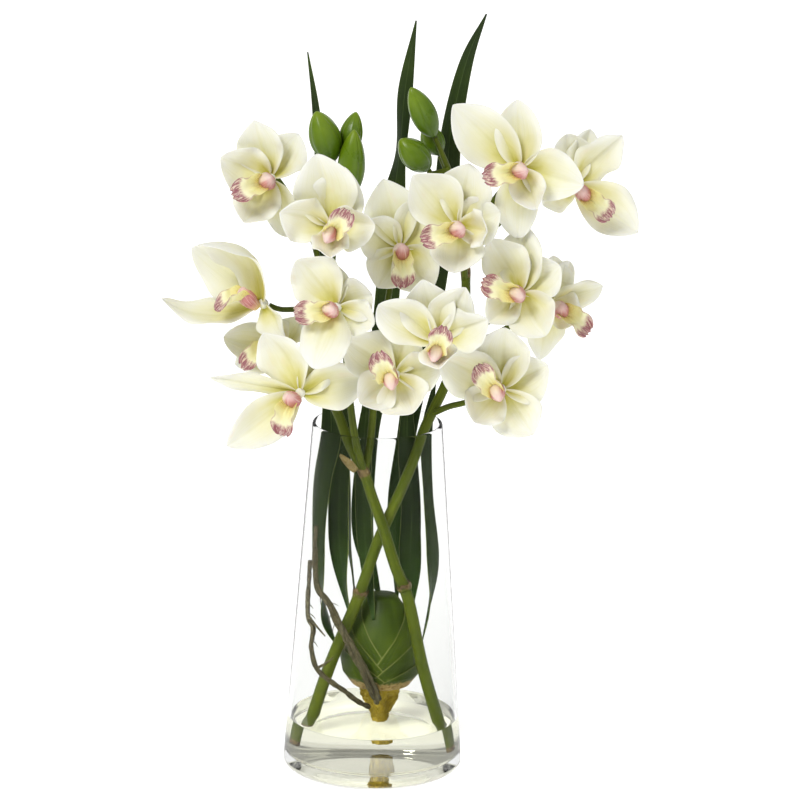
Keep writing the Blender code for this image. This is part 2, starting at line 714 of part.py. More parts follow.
def leaf_rows(leaf, steps, width_steps):
    bearing, foot, points = leaf
    turn = math.radians(bearing)
    lift = CLEARANCE + LEAF_THICKNESS
    if foot < max(tip for _, _, tip, _ in SHEATHS):
        lift += SHEATH_LIFT + 0.5 * SHEATH_THICKNESS
    base = bulb_point(bearing, raised(foot * MM), lift)
    path = [(*base, 4.0 * MM, 0.0)]
    path += [(*placed(point[:3]), point[3] * MM, point[4]) for point in points]
    rows = []
    line = smooth_path(path, steps)
    tangents = np.gradient(line[:, :3], axis=0)
    outward = np.array([math.cos(turn), math.sin(turn), 0.0])
    for i, (point, tangent) in enumerate(zip(line, tangents)):
        tangent = unit(tangent)
        fade = min(1.0, i / (0.35 * steps))
        ahead = np.array([0.0, -1.0 if outward[1] < 0.2 else 1.0, 0.0])
        face = unit(outward * (1 - fade) + ahead * fade)
        face = unit(face - tangent * np.dot(face, tangent))
        side = np.cross(tangent, face)
        twist = math.radians(point[4])
        side = side * math.cos(twist) + face * math.sin(twist)
        normal = np.cross(side, tangent)
        half = max(point[3], 0.0006)
        across = np.linspace(-1, 1, width_steps + 1)
        rows.append([point[:3] + side * half * s + normal * half * LEAF_FOLD * abs(s) for s in across])
    return rows


def make_leaf(name, leaf, parts):
    tip_height = leaf[2][-1][2]
    steps = LONG_LEAF_STEPS if tip_height > LONG_LEAF_TIP else SHORT_LEAF_STEPS
    obj = add_object(name, sheet_mesh(name, leaf_rows(leaf, steps, 2)), "leaf", parts)
    solidify(obj, LEAF_THICKNESS)


def sheath_mesh(sheath):
    bearing, foot, tip, spread = sheath
    rows = []
    for t in np.linspace(0, 1, 5):
        height = raised((foot + (tip - foot) * t) * MM)
        half = max(spread * (1 - t) ** 0.6 * (0.75 + 0.5 * t), 2.0)
        angles = np.linspace(bearing - half, bearing + half, 4)
        rows.append([bulb_point(angle, height, SHEATH_LIFT) for angle in angles])
    return solid_sheet("sheath", rows, SHEATH_THICKNESS)


def make_bulb(parts, helpers):
    profile = [(radius, raised(height)) for radius, height in BULB_PROFILE]
    profile = [(0.0, profile[0][1]), *profile, (0.0, profile[-1][1] + 0.002)]
    mesh = turned_mesh("bulb", profile, 18)
    for vert in mesh.vertices:
        vert.co.x += BULB_X
        vert.co.y += BULB_Y
    bulb = add_object("bulb", mesh, "bulb", parts)
    sheaths = joined_mesh("bulb_sheaths", [sheath_mesh(sheath) for sheath in SHEATHS])
    unite(bulb, sheaths, helpers, itself=True)


def tuft_mesh(name, grow):
    """The root tuft's fluted body; grow widens it into a pocket."""
    profile = [(radius + grow, raised(height)) for radius, height in TUFT_PROFILE]
    foot = profile[0][1] - grow
    profile[0] = (profile[0][0], foot)
    profile = [(0.0, foot), *profile, (0.0, profile[-1][1])]

    def flute(vert):
        reach = math.hypot(vert.co.x, vert.co.y)
        if reach > 0:
            wave = 1 + TUFT_FLUTE * math.sin(7 * math.atan2(vert.co.y, vert.co.x) + vert.co.z * 120)
            vert.co.x *= wave
            vert.co.y *= wave
        vert.co.x += BULB_X
        vert.co.y += BULB_Y

    return turned_mesh(name, profile, 28, flute)


def tuft_pocket():
    return tuft_mesh("tuft_pocket", CLEARANCE * 1.3)


def tuft_point(foot, lift):
    """A point beside the root tuft, at a bearing and height and a distance from its surface."""
    turn = math.radians(foot[0])
    radii, heights = zip(*TUFT_PROFILE)
    reach = float(np.interp(foot[1] * MM, heights, radii)) * (1 + TUFT_FLUTE) + lift
    return np.array([BULB_X + reach * math.cos(turn), BULB_Y + reach * math.sin(turn), raised(foot[1] * MM)])


def root_line(path, foot, lift, steps):
    """A root's midline, ending beside the tuft."""
    return smooth_path(np.vstack([placed(path), tuft_point(foot, lift)]), steps)


def make_twisted_root(parts, helpers):
    line = root_line(TWISTED_ROOT, TWISTED_ROOT_FOOT, 1.7 * AERIAL_ROOT_RADIUS + CLEARANCE, 16)
    tangents = np.gradient(line, axis=0)
    strands = []
    for phase in (0.0, math.pi):
        points = []
        for i, (point, tangent) in enumerate(zip(line, tangents)):
            side = unit(np.cross(tangent, (0, 1, 0)))
            other = unit(np.cross(tangent, side))
            angle = phase + i * 0.95
            turned = side * math.cos(angle) + other * math.sin(angle)
            points.append(point + turned * AERIAL_ROOT_RADIUS * 0.6)
        strands.append(tapered_tube(points, 0.55 * AERIAL_ROOT_RADIUS, AERIAL_ROOT_RADIUS))
    root = add_object("aerial_root_twisted", strands[0], "root", parts)
    unite(root, strands[1], helpers)


def make_thin_root(parts, helpers):
    line = root_line(THIN_ROOT, THIN_ROOT_FOOT, THIN_ROOT_RADIUS + CLEARANCE, 20)
    mesh = tapered_tube(line, 0.8 * THIN_ROOT_RADIUS, THIN_ROOT_RADIUS)
    root = add_object("aerial_root_thin", mesh, "root", parts)
    twigs = []
    for branch in THIN_ROOT_BRANCHES:
        points = smooth_path(placed(branch), 4)
        twigs.append(tapered_tube(points, 0.6 * THIN_ROOT_RADIUS, 0.35 * THIN_ROOT_RADIUS))
    unite(root, joined_mesh("twigs", twigs), helpers, itself=True)


def make_bract(parts):
    foot, tip, half = placed(BRACT[0]), placed(BRACT[1]), BRACT[2] * MM
    along = tip - foot
    side = unit(np.cross(along, (0.0, -1.0, 0.0)))
    rows = []
    for t in np.linspace(0, 1, 5):
        spread = half * (0.55 + 0.9 * t - 1.35 * t * t)
        middle = foot + along * t + np.array([0.0, -1.0, 0.3]) * 0.002 * math.sin(math.pi * t)
        rows.append([middle + side * spread * s + np.array([0.0, 0.0015, 0.0]) * s * s for s in (-1, 0, 1)])
    bract = add_object("dried_bract", sheet_mesh("dried_bract", rows), "bract", parts)
    solidify(bract, BRACT_THICKNESS)


def main():
    clear_scene()
    parts = new_collection("orchid_in_vase")
    helpers = new_collection("helpers", helper=True)
    make_vase(parts)
    make_water(parts, helpers)
    branches = (MIDDLE_BRANCH, SIDE_BRANCH)
    make_spike("flower_spike_left", LEFT_SPIKE, ("left", "middle"), branches, parts, helpers)
    make_spike("flower_spike_right", RIGHT_SPIKE, ("right",), (), parts, helpers)
    for name, flower in FLOWERS.items():
        make_tepals(f"flower_{name}_tepals", flower, parts, helpers)
        make_lip(f"flower_{name}_lip", flower, parts, helpers)
    for name, bud in BUDS.items():
        make_bud(f"bud_{name}", bud, parts)
    for name, leaf in LEAVES.items():
        make_leaf(f"leaf_{name}", leaf, parts)
    make_bulb(parts, helpers)
    add_object("root_tuft", tuft_mesh("root_tuft", 0.0), "tuft", parts)
    make_twisted_root(parts, helpers)
    make_thin_root(parts, helpers)
    make_bract(parts)


main()
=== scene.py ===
"""Looks for the orchid arrangement: cymbidium flowers and buds on two spikes, a bulb with leaves and
roots, and a tapered glass vase of water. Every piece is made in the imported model's frame, in metres. Most
pieces of the plant are centred on their nodes' boxes. Layout tables are in millimetres and degrees.
"""

import math

import bpy
import numpy as np
from mathutils import Matrix, Vector


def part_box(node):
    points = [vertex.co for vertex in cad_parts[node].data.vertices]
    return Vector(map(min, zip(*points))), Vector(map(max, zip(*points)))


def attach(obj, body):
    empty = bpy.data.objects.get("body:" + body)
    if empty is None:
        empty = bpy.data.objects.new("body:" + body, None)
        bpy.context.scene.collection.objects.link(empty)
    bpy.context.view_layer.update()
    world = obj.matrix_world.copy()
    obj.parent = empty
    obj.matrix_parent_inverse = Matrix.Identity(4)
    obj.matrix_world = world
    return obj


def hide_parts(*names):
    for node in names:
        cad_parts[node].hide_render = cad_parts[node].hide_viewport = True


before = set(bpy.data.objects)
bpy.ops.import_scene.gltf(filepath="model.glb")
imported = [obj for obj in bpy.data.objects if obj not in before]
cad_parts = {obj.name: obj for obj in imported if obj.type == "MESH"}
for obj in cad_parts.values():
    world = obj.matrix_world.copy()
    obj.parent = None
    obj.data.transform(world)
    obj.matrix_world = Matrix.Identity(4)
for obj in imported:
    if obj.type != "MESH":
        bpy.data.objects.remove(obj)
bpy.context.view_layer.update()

MM = 0.001
CLEARANCE = 0.0004
BODY = "root"

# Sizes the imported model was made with
VASE_WALL = 0.0028
VASE_FLOOR = 0.010
VASE_RIM_RADIUS = 0.0478
VASE_FOOT_ROUND = 0.004
STEM_RADIUS = 0.0048
STEM_TOP_RADIUS = 0.0030
PEDICEL_RADIUS = 0.0019
RECEPTACLE_RADIUS = 0.0038
TEPAL_THICKNESS = 0.0009
TEPAL_NECK = 0.07
LIP_LENGTH = 0.031
LIP_ARCH = 0.10
LIP_DROP = 0.004
LIP_HALF_WIDTH = 0.0105
LIP_SIDE_RISE = 0.0085
COLUMN_LENGTH = 0.0175
COLUMN_RADIUS = 0.0050
LEAF_THICKNESS = 0.0009
LEAF_FOLD = 0.22
SHEATH_REACH = 0.0019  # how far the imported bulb's sheaths stand out
SHEATH_TOP = 112  # and the height that they reach up to, in mm
AERIAL_ROOT_RADIUS = 0.0024
THIN_ROOT_RADIUS = 0.0019
TUFT_FLUTE = 0.07
BULB_X = 0.005
BULB_Y = 0.013

# Sizes of the finer shapes
SMALLEST_HALF_WIDTH = 0.0005
TEPAL_KEEL = 0.0022
TEPAL_KEEL_SPREAD = 0.0010
TEPAL_RIPPLE = 0.0009
TEPAL_EDGE_WAVE = 0.0024
TEPAL_EDGE_ROLL = 0.0040
TEPAL_EDGE_ROLL_SPREAD = 0.0034
LIP_THICKNESS = 0.0010
LIP_LIFT = 0.0016
LIP_RIDGE = 0.0013
LIP_FRILL = 0.0012
LIP_EDGE_WAVE = 0.0009
COLUMN_DROP = 0.0072
ANTHER_RADIUS = 0.0017
FLOWER_BACK = 0.010
BUD_GROOVE = 0.115
BUD_RIDGE = 0.035
SCAR_SWELL = 0.16
COLLAR_THICKNESS = 0.0004
BULB_SHEATH_THICKNESS = 0.0008
BULB_SHEATH_STEP = 0.0003
TUFT_CORE = 0.90
TUFT_ROOTS = 170
TUFT_ROOT_RADIUS = 0.0006
ROOT_STRANDS = 8
ROOT_STEPS = 150
ROOTLET_RADIUS = 0.0005
BRACT_THICKNESS = 0.0007
GLASS_SIDES = 160
GLASS_ROUNDING = 0.0030
WATER_ROUNDING = 0.0012
WATER_OVERLAP = 0.00015  # into the glass, so that no gap shows
AXIS_HOLE = 0.0008

BULB_PROFILE = (
    (0.0190, 0.058), (0.0262, 0.068), (0.0285, 0.082), (0.0262, 0.098), (0.0190, 0.114), (0.0110, 0.126),
)
TUFT_PROFILE = ((0.0060, 0.0150), (0.0070, 0.0340), (0.0090, 0.0400), (0.0135, 0.0480), (0.0180, 0.0576))

# Flower: centre (mm), azimuth and elevation it faces, its lip (clock angle, lean), then its tepals as
# (clock angle, lean from the facing axis, length, width, cup, bow). Angles are in degrees, sizes in mm;
# the cup is a share of the half width and the bow a share of the length
FLOWERS = {
    "01": ((-79, -20, 449), -14, 10, (207, 42), (
        (108, 79, 43, 34, 0.3, -0.08), (158, 59, 40, 34, 0.3, -0.1), (64, 103, 38, 32, 0.3, -0.06),
        (248, 62, 39, 36, 0.3, -0.16), (287, 111, 47, 26, 0.25, -0.06),
    )),
    "02": ((-36, -58, 422), 0, -5, (60, 42), (
        (101, 91, 54, 44, 0.25, -0.08), (160, 71, 39, 34, 0.35, -0.14), (273, 26, 30, 26, 0.5, -0.16),
        (11, 67, 35, 32, 0.35, -0.14), (77, 103, 44, 40, 0.2, -0.06),
    )),
    "03": ((-83, -20, 356), -66, 22, (267, 22), (
        (105, 22, 67, 50, 0.4, -0.28), (158, 40, 68, 42, 0.3, -0.24), (226, 26, 74, 24, 0.3, -0.18),
        (212, 47, 65, 18, 0.3, -0.18), (313, 122, 29, 26, 0.2, -0.05),
    )),
    "04": ((-31, -66, 366), -22, 6, (187, 34), (
        (129, 74, 45, 40, 0.2, -0.1), (262, 60, 48, 40, -0.2, 0.2), (25, 112, 27, 32, 0.3, -0.1),
        (341, 101, 30, 26, 0.2, -0.08), (111, 111, 34, 26, 0.2, -0.06),
    )),
    "05": ((-56, -42, 295), -22, -6, (262, 42), (
        (116, 81, 53, 38, 0.35, -0.12), (166, 65, 66, 14, 0.3, -0.06), (218, 56, 65, 32, 0.3, -0.08),
        (51, 115, 36, 24, 0.2, -0.08), (13, 111, 54, 34, 0.3, -0.06),
    )),
    "15": ((-69, 8, 315), -40, 20, (244, 36), (
        (184, 44, 46, 30, 0.3, -0.12), (147, 63, 28, 30, 0.3, -0.12), (209, 66, 40, 26, 0.3, -0.1),
        (88, 107, 27, 26, 0.2, 0), (238, 116, 28, 24, 0.2, 0),
    )),
    "06": ((56, -34, 419), -8, 8, (196, 45), (
        (132, 74, 50, 40, 0.3, -0.1), (82, 86, 46, 40, 0.3, -0.08), (22, 87, 32, 34, 0.3, -0.12),
        (357, 45, 33, 28, 0.4, -0.2), (269, 73, 34, 38, 0.3, -0.14),
    )),
    "07": ((99, -28, 461), -6, 8, (189, 45), (
        (137, 77, 68, 40, 0.25, -0.08), (94, 86, 50, 34, 0.3, -0.08), (348, 90, 47, 36, 0.3, -0.08),
        (297, 56, 35, 26, 0.4, -0.18), (269, 102, 53, 30, 0.2, -0.06),
    )),
    "08": ((140, 14, 440), 24, -5, (319, 42), (
        (96, 107, 38, 32, 0.25, -0.08), (48, 79, 50, 32, 0.3, -0.12), (323, 62, 58, 36, 0.3, -0.12),
        (213, 99, 27, 26, 0.2, -0.06), (63, 109, 44, 26, 0.2, -0.06),
    )),
    "09": ((102, -26, 368), -14, 8, (161, 45), (
        (119, 74, 46, 34, 0.3, -0.1), (90, 89, 49, 34, 0.3, -0.08), (39, 100, 35, 32, 0.3, -0.08),
        (306, 75, 36, 38, 0.3, -0.14), (227, 63, 32, 26, 0.3, -0.12),
    )),
    "14": ((124, 26, 347), 35, 5, (313, 40), (
        (76, 91, 37, 32, 0.25, -0.06), (19, 63, 42, 22, 0.25, -0.06), (333, 55, 25, 28, 0.25, -0.06),
        (266, 101, 43, 30, 0.2, -0.06), (52, 91, 38, 24, 0.2, -0.04),
    )),
    "10": ((41, -84, 345), -4, -8, (75, 42), (
        (104, 97, 46, 38, 0.3, -0.12), (64, 94, 46, 32, 0.3, -0.12), (143, 78, 52, 36, 0.35, -0.14),
        (29, 81, 42, 30, 0.3, -0.14), (284, 23, 25, 28, 0.45, -0.16),
    )),
    "11": ((12, -52, 313), -8, 0, (110, 42), (
        (145, 81, 45, 36, 0.25, -0.08), (79, 105, 35, 30, 0.2, -0.04), (12, 88, 35, 30, 0.3, -0.1),
        (301, 68, 32, 40, 0.3, -0.14), (220, 70, 33, 32, 0.3, -0.1),
    )),
    "12": ((89, -56, 304), -10, 6, (123, 42), (
        (89, 84, 45, 40, 0.3, -0.1), (30, 96, 38, 36, 0.3, -0.1), (308, 89, 40, 38, 0.3, -0.12),
        (234, 60, 33, 34, 0.3, -0.16), (152, 70, 52, 38, 0.3, -0.1),
    )),
    "13": ((14, -2, 394), 6, 5, (270, 42), (
        (103, 93, 51, 38, 0.3, -0.08), (57, 93, 43, 34, 0.2, -0.06), (307, 81, 38, 36, 0.3, -0.1),
        (240, 83, 33, 34, 0.3, -0.1), (146, 85, 33, 34, 0.25, -0.08),
    )),
}

# Spike midlines from the cut end up, in mm
RIGHT_SPIKE = (
    (-49, -2, 16), (-45, -4, 36), (-32, -9, 80), (-12, -8, 132), (2, -2, 173), (18, 2, 211), (28, 4, 237),
    (34, 6, 256), (41, 8, 272), (50, 10, 292), (60, 12, 325), (63, 14, 352), (61, 18, 390), (54, 22, 434),
    (47, 24, 450),
)
LEFT_SPIKE = (
    (54, -14, 16), (49, -15, 37), (36, -20, 82), (25, -20, 133), (15, -18, 158), (5, -14, 188),
    (-3, -12, 209), (-9, -12, 227), (-20, -10, 248), (-27, -8, 267), (-34, -6, 285), (-38, 2, 317),
    (-38, 8, 353), (-35, 12, 390), (-32, 12, 428), (-32, 10, 440),
)
MIDDLE_BRANCH = ((-9, -12, 227), (-5, -4, 251), (-3, -4, 282), (0, 0, 320), (6, 8, 352))
SIDE_BRANCH = ((-9, -12, 227), (-15, -17, 250), (-19, -18, 274), (-22, -16, 300), (-24, -16, 322))

# Flower: the spike that bears it, then the points of its pedicel before the flower's back, in mm
PEDICELS = {
    "01": ("left", ((-38, 8, 353), (-52, 8, 405))),
    "02": ("left", ((-38, 8, 353), (-34, -8, 400))),
    "03": ("left", ((-38, 2, 330), (-50, 4, 345))),
    "04": ("left", ((-24, -16, 318), (-24, -24, 342))),
    "05": ("left", ((-32, -6, 278), (-36, -12, 284))),
    "15": ("left", ((-37, 0, 310), (-50, 14, 310))),
    "10": ("middle", ((2, 2, 330), (30, -30, 345))),
    "11": ("middle", ((-3, -4, 282), (2, -20, 300))),
    "13": ("middle", ((6, 8, 352), (10, 14, 380))),
    "06": ("right", ((62, 14, 370), (60, 0, 400))),
    "07": ("right", ((61, 17, 385), (80, 14, 425))),
    "08": ("right", ((61, 17, 385), (100, 30, 420))),
    "09": ("right", ((58, 11, 315), (85, 4, 345))),
    "14": ("right", ((58, 11, 315), (100, 20, 335))),
    "12": ("right", ((39, 8, 268), (52, -3, 277), (66, -14, 284))),
}

# Bud: its spike, the pedicel's first points, the bud's base, its tip and its largest radius, in mm
BUDS = {
    "left_1": ("left", ((-32, 11, 438),), (-35, 8, 456), (-48, 2, 494), 12.0),
    "left_2": ("left", ((-32, 11, 438),), (-26, 14, 458), (-19, 18, 491), 8.5),
    "left_3": ("left", ((-33, 12, 420),), (-24, 4, 428), (-20, -2, 482), 10.5),
    "right_1": ("right", ((48, 24, 450),), (38, 16, 474), (20, 6, 512), 9.5),
    "right_2": ("right", ((49, 24, 448),), (34, 14, 450), (13, 4, 474), 11.0),
    "right_3": ("right", ((47, 24, 448),), (42, 28, 458), (31, 30, 480), 9.0),
}

# Leaf: bearing and height of its base on the bulb (degrees, mm), then points of its midline with the
# half width and the turn of the blade about the midline there (mm, mm, mm, mm, degrees)
LEAVES = {
    "1": (170, 116, (
        (-20, 22, 170, 6, 0), (-28, 24, 248, 6, 10), (-37, 24, 290, 6, 0), (-43, 30, 349, 5, 0),
        (-43, 34, 423, 5, 0), (-48, 32, 486, 3.2, 20), (-55, 28, 533, 0.6, 30),
    )),
    "2": (95, 120, (
        (-10, 27, 172, 8, 0), (-7, 28, 244, 7.5, 0), (1, 32, 300, 9, 0), (6, 36, 360, 9, 0),
        (8, 38, 415, 9, 0), (13, 36, 458, 5, 40), (16, 34, 505, 5.5, 10), (23, 30, 557, 0.6, 0),
    )),
    "3": (50, 118, (
        (15, 26, 185, 8, 0), (21, 26, 244, 7, 0), (30, 32, 300, 9, 0), (40, 38, 360, 9, 0),
        (47, 42, 420, 9, 0), (50, 40, 473, 8, 20), (60, 36, 525, 5, 10), (74, 32, 562, 0.6, 0),
    )),
    "4": (180, 84, (
        (-36, 13, 110, 8, 45), (-41, 10, 148, 6.5, 40), (-42, 8, 180, 6, 30), (-40, 6, 218, 7, 10),
        (-34, 9, 256, 7.5, 10), (-40, 20, 305, 0.8, 0),
    )),
    "5": (200, 110, (
        (-25, 12, 146, 7.5, 20), (-28, 14, 185, 8, 15), (-27, 15, 224, 7.5, 15), (-24, 12, 254, 6, 10),
        (-20, 14, 290, 0.8, 0),
    )),
    "6": (0, 90, (
        (41, 13, 125, 6.5, -35), (42, 11, 160, 6, -35), (38, 12, 205, 4.5, -35), (36, 14, 252, 4.5, -20),
        (42, 28, 290, 0.8, 0),
    )),
    "7": (15, 110, (
        (26, 15, 150, 8, -20), (26, 14, 195, 7.5, -10), (22, 9, 246, 6.5, 0), (22, 17, 292, 0.8, 0),
    )),
    "8": (250, 114, (
        (-8, 12, 160, 6, 20), (-11, 15, 205, 6, 10), (-11, 14, 246, 6, 0), (-8, 20, 292, 0.8, 0),
    )),
}

# Aerial roots in mm, down to the root tuft, and where each meets it: bearing (degrees) and height (mm)
TWISTED_ROOT = (
    (-43, -12, 186), (-44, -14, 168), (-42, -20, 143), (-33, -24, 130), (-23, -28, 112), (-15, -29, 96),
    (-7, -25, 80), (-1, -19, 67), (2, -13, 58),
)
TWISTED_ROOT_FOOT = (-95, 51)
THIN_ROOT = (
    (-48, -4, 158), (-49, -6, 141), (-49, -12, 118), (-45, -16, 109), (-46, -20, 96), (-42, -24, 81),
    (-30, -24, 70), (-19, -15, 59), (-11, -7, 50),
)
THIN_ROOT_FOOT = (-128, 43)
THIN_ROOT_BRANCHES = (
    ((-49, -12, 118), (-43, -20, 113), (-36, -24, 106)),
    ((-42, -24, 81), (-35, -23, 85), (-30, -22, 89)),
)

# Dried bract in the left spike's fork: foot, tip (mm) and half width (mm)
BRACT = ((-15, -19.5, 231), (-27, -22, 244), 4.0)


# Mesh building

class Shell:
    """Collects closed surfaces for one piece. Each vertex carries a tag (along, across, id) and a mark."""

    def __init__(self):
        self.points, self.faces, self.tags, self.marks, self.kinds = [], [], [], [], []
        self.count = 0

    def add(self, points, faces, tags, marks=0.0, kind=0):
        points = np.asarray(points, float).reshape(-1, 3)
        self.points.append(points)
        self.tags.append(np.broadcast_to(np.asarray(tags, float), points.shape))
        self.marks.append(np.broadcast_to(np.asarray(marks, float).reshape(-1), (len(points),)))
        for face in faces:
            self.faces.append(tuple(int(i) + self.count for i in face))
        self.kinds += [kind] * len(faces)
        self.count += len(points)

    def mesh(self, name):
        mesh = bpy.data.meshes.new(name)
        mesh.from_pydata(np.concatenate(self.points).tolist(), [], self.faces)
        tag = mesh.attributes.new("tag", "FLOAT_VECTOR", "POINT")
        tag.data.foreach_set("vector", np.concatenate(self.tags).astype(np.float32).ravel())
        mark = mesh.attributes.new("mark", "FLOAT", "POINT")
        mark.data.foreach_set("value", np.concatenate(self.marks).astype(np.float32))
        mesh.polygons.foreach_set("material_index", self.kinds)
        mesh.polygons.foreach_set("use_smooth", [True] * len(mesh.polygons))
        mesh.update()
        return mesh


def unit(vector):
    vector = np.asarray(vector, float)
    return vector / np.linalg.norm(vector)


def bell(value, width):
    return np.exp(-((value / width) ** 2))


def climb(value, low, width):
    """0 below low, then a straight rise to 1 over the width."""
    return np.clip((value - low) / width, 0, 1)


def ball(radius, low, high, count):
    """The (radius, height) outline of a ball between two angles from its foot."""
    return [(radius * math.sin(a), -radius * math.cos(a)) for a in np.linspace(low, high, count)]


def rows_unit(vectors):
    return vectors / np.maximum(np.linalg.norm(vectors, axis=-1, keepdims=True), 1e-12)


def placed(points):
    return np.array(points, float) * MM


def smooth_path(points, steps):
    """Points evenly along a Catmull-Rom curve through the given rows; further columns are carried along."""
    rows = np.asarray(points, float)
    rows = np.vstack([2 * rows[0] - rows[1], rows, 2 * rows[-1] - rows[-2]])
    fine = []
    for i in range(1, len(rows) - 2):
        a, b, c, d = rows[i - 1 : i + 3]
        square, cube = 2 * a - 5 * b + 4 * c - d, 3 * b - a - 3 * c + d
        for t in np.linspace(0, 1, 24, endpoint=False):
            fine.append(0.5 * (2 * b + (c - a) * t + square * t**2 + cube * t**3))
    fine = np.array(fine + [rows[-2]])
    run = np.concatenate([[0], np.cumsum(np.linalg.norm(np.diff(fine[:, :3], axis=0), axis=1))])
    at = np.linspace(0, run[-1], steps + 1)
    return np.stack([np.interp(at, run, fine[:, k]) for k in range(fine.shape[1])], axis=1)


def across(wide):
    """Places from -1 to 1 over a blade's width, closer together towards its edges."""
    return np.sin(np.linspace(-0.5 * math.pi, 0.5 * math.pi, wide))


def grid_faces(high, wide, loop=False):
    faces = []
    for i in range(high - 1):
        for j in range(wide if loop else wide - 1):
            k = (j + 1) % wide
            faces.append((i * wide + j, i * wide + k, (i + 1) * wide + k, (i + 1) * wide + j))
    return faces


def cap_faces(high, wide):
    """Fans that close both ends of a looped grid, whose two middle points come after it."""
    low, last = high * wide, (high - 1) * wide
    faces = []
    for j in range(wide):
        k = (j + 1) % wide
        faces.append((low, k, j))
        faces.append((low + 1, last + j, last + k))
    return faces


def blade(shell, grid, thickness, number, marks=None):
    """A thin closed blade over a grid of points, its thickness fading to a fine edge."""
    high, wide = grid.shape[:2]
    normal = rows_unit(np.cross(np.gradient(grid, axis=1), np.gradient(grid, axis=0)))
    t = np.linspace(0, 1, high)[:, None]
    s = across(wide)[None, :]
    fade = np.sqrt(np.clip(1 - np.abs(s) ** 11, 0, 1)) * np.sqrt(np.clip(1 - (2 * t - 1) ** 20, 0, 1))
    lift = normal * (0.5 * thickness * fade)[..., None]
    tags = np.stack([t + 0 * s, s + 0 * t, np.full((high, wide), float(number))], axis=-1)
    marks = np.zeros((high, wide)) if marks is None else marks
    index = np.arange(high * wide).reshape(high, wide)
    inner = np.ones((high, wide), bool)
    inner[[0, -1], :] = False
    inner[:, [0, -1]] = False
    back = index.copy()
    back[inner] = high * wide + np.arange(inner.sum())
    points = np.concatenate([(grid + lift).reshape(-1, 3), (grid - lift)[inner]])
    all_tags = np.concatenate([tags.reshape(-1, 3), tags[inner]])
    all_marks = np.concatenate([marks.reshape(-1), marks[inner]])
    faces = []
    for i in range(high - 1):
        for j in range(wide - 1):
            faces.append((index[i, j], index[i, j + 1], index[i + 1, j + 1], index[i + 1, j]))
            faces.append((back[i, j], back[i + 1, j], back[i + 1, j + 1], back[i, j + 1]))
    shell.add(points, faces, all_tags, all_marks)


def carried_frames(line):
    """Two directions across each point of a line that don't spin along it."""
    tangents = rows_unit(np.gradient(line, axis=0))
    start = np.cross(tangents[0], (0.31, 0.86, 0.4))
    first = [unit(start)]
    for tangent in tangents[1:]:
        side = first[-1] - tangent * np.dot(first[-1], tangent)
        first.append(unit(side))
    first = np.array(first)
    return first, np.cross(tangents, first)


def tube(shell, line, radii, sides=16, number=0, rough=None, marks=None, kind=0):
    """A closed tube along a line; rough changes its radius by (step, angle) and marks its rings' marks."""
    line = np.asarray(line, float)
    count = len(line)
    first, second = carried_frames(line)
    angle = np.linspace(0, 2 * math.pi, sides, endpoint=False)
    radius = np.broadcast_to(np.asarray(radii, float)[:, None], (count, sides)).copy()
    if rough is not None:
        radius *= 1 + rough(np.linspace(0, 1, count)[:, None], angle[None, :])
    ring = first[:, None] * np.cos(angle)[None, :, None] + second[:, None] * np.sin(angle)[None, :, None]
    points = (line[:, None] + ring * radius[..., None]).reshape(-1, 3)
    faces = grid_faces(count, sides, loop=True)
    points = np.vstack([points, line[0], line[-1]])
    faces += cap_faces(count, sides)
    run = np.concatenate([[0], np.cumsum(np.linalg.norm(np.diff(line, axis=0), axis=1))])
    x, y = np.tile(np.cos(angle), count) * 0.5, np.tile(np.sin(angle), count) * 0.5 + number
    tags = np.stack([np.repeat(run, sides), x, y], 1)
    tags = np.vstack([tags, (0, 0, number), (run[-1], 0, number)])
    mark = np.zeros(count) if marks is None else np.asarray(marks, float)
    mark = np.concatenate([np.repeat(mark, sides), mark[[0, -1]]])
    shell.add(points, faces, tags, mark, kind)


def turned(shell, profile, steps, number=0, shape=None, kind=0):
    """A body turned about Z from (radius, height) points; shape moves its points (rows, steps, xyz)."""
    profile = np.asarray(profile, float)
    angle = np.linspace(0, 2 * math.pi, steps, endpoint=False)
    points = np.empty((len(profile), steps, 3))
    points[..., 0] = profile[:, :1] * np.cos(angle)
    points[..., 1] = profile[:, :1] * np.sin(angle)
    points[..., 2] = profile[:, 1:]
    t = np.linspace(0, 1, len(profile))[:, None] + 0 * angle
    if shape is not None:
        points = shape(points, t, angle)
    tags = np.stack([t, 0 * t + angle / (2 * math.pi), np.full(t.shape, float(number))], axis=-1)
    faces = grid_faces(len(profile), steps, loop=True)
    body, tag = points.reshape(-1, 3), tags.reshape(-1, 3)
    ends = [points[0].mean(0), points[-1].mean(0)]
    faces += cap_faces(len(profile), steps)
    shell.add(np.vstack([body, ends]), faces, np.vstack([tag, tag[0], tag[-1]]), 0.0, kind)


def seat(mesh, node):
    """Moves a mesh so that its box is centred where the node's box is."""
    low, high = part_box(node)
    middle = (np.array(low) + np.array(high)) / 2
    points = np.empty(len(mesh.vertices) * 3)
    mesh.vertices.foreach_get("co", points)
    points = points.reshape(-1, 3)
    own = (points.min(0) + points.max(0)) / 2
    mesh.transform(Matrix.Translation(Vector(middle - own)))


def linked(name, data):
    thing = bpy.data.objects.new(name, data)
    bpy.context.scene.collection.objects.link(thing)
    return thing


def finished(shell, name, node, materials, centred=True):
    """Makes the collected shells a piece that stands for a node and rides on the body."""
    mesh = shell.mesh(name)
    if centred:
        seat(mesh, node)
    for material in materials:
        mesh.materials.append(material)
    piece = linked(name, mesh)
    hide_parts(node)
    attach(piece, BODY)
    return piece


# Materials

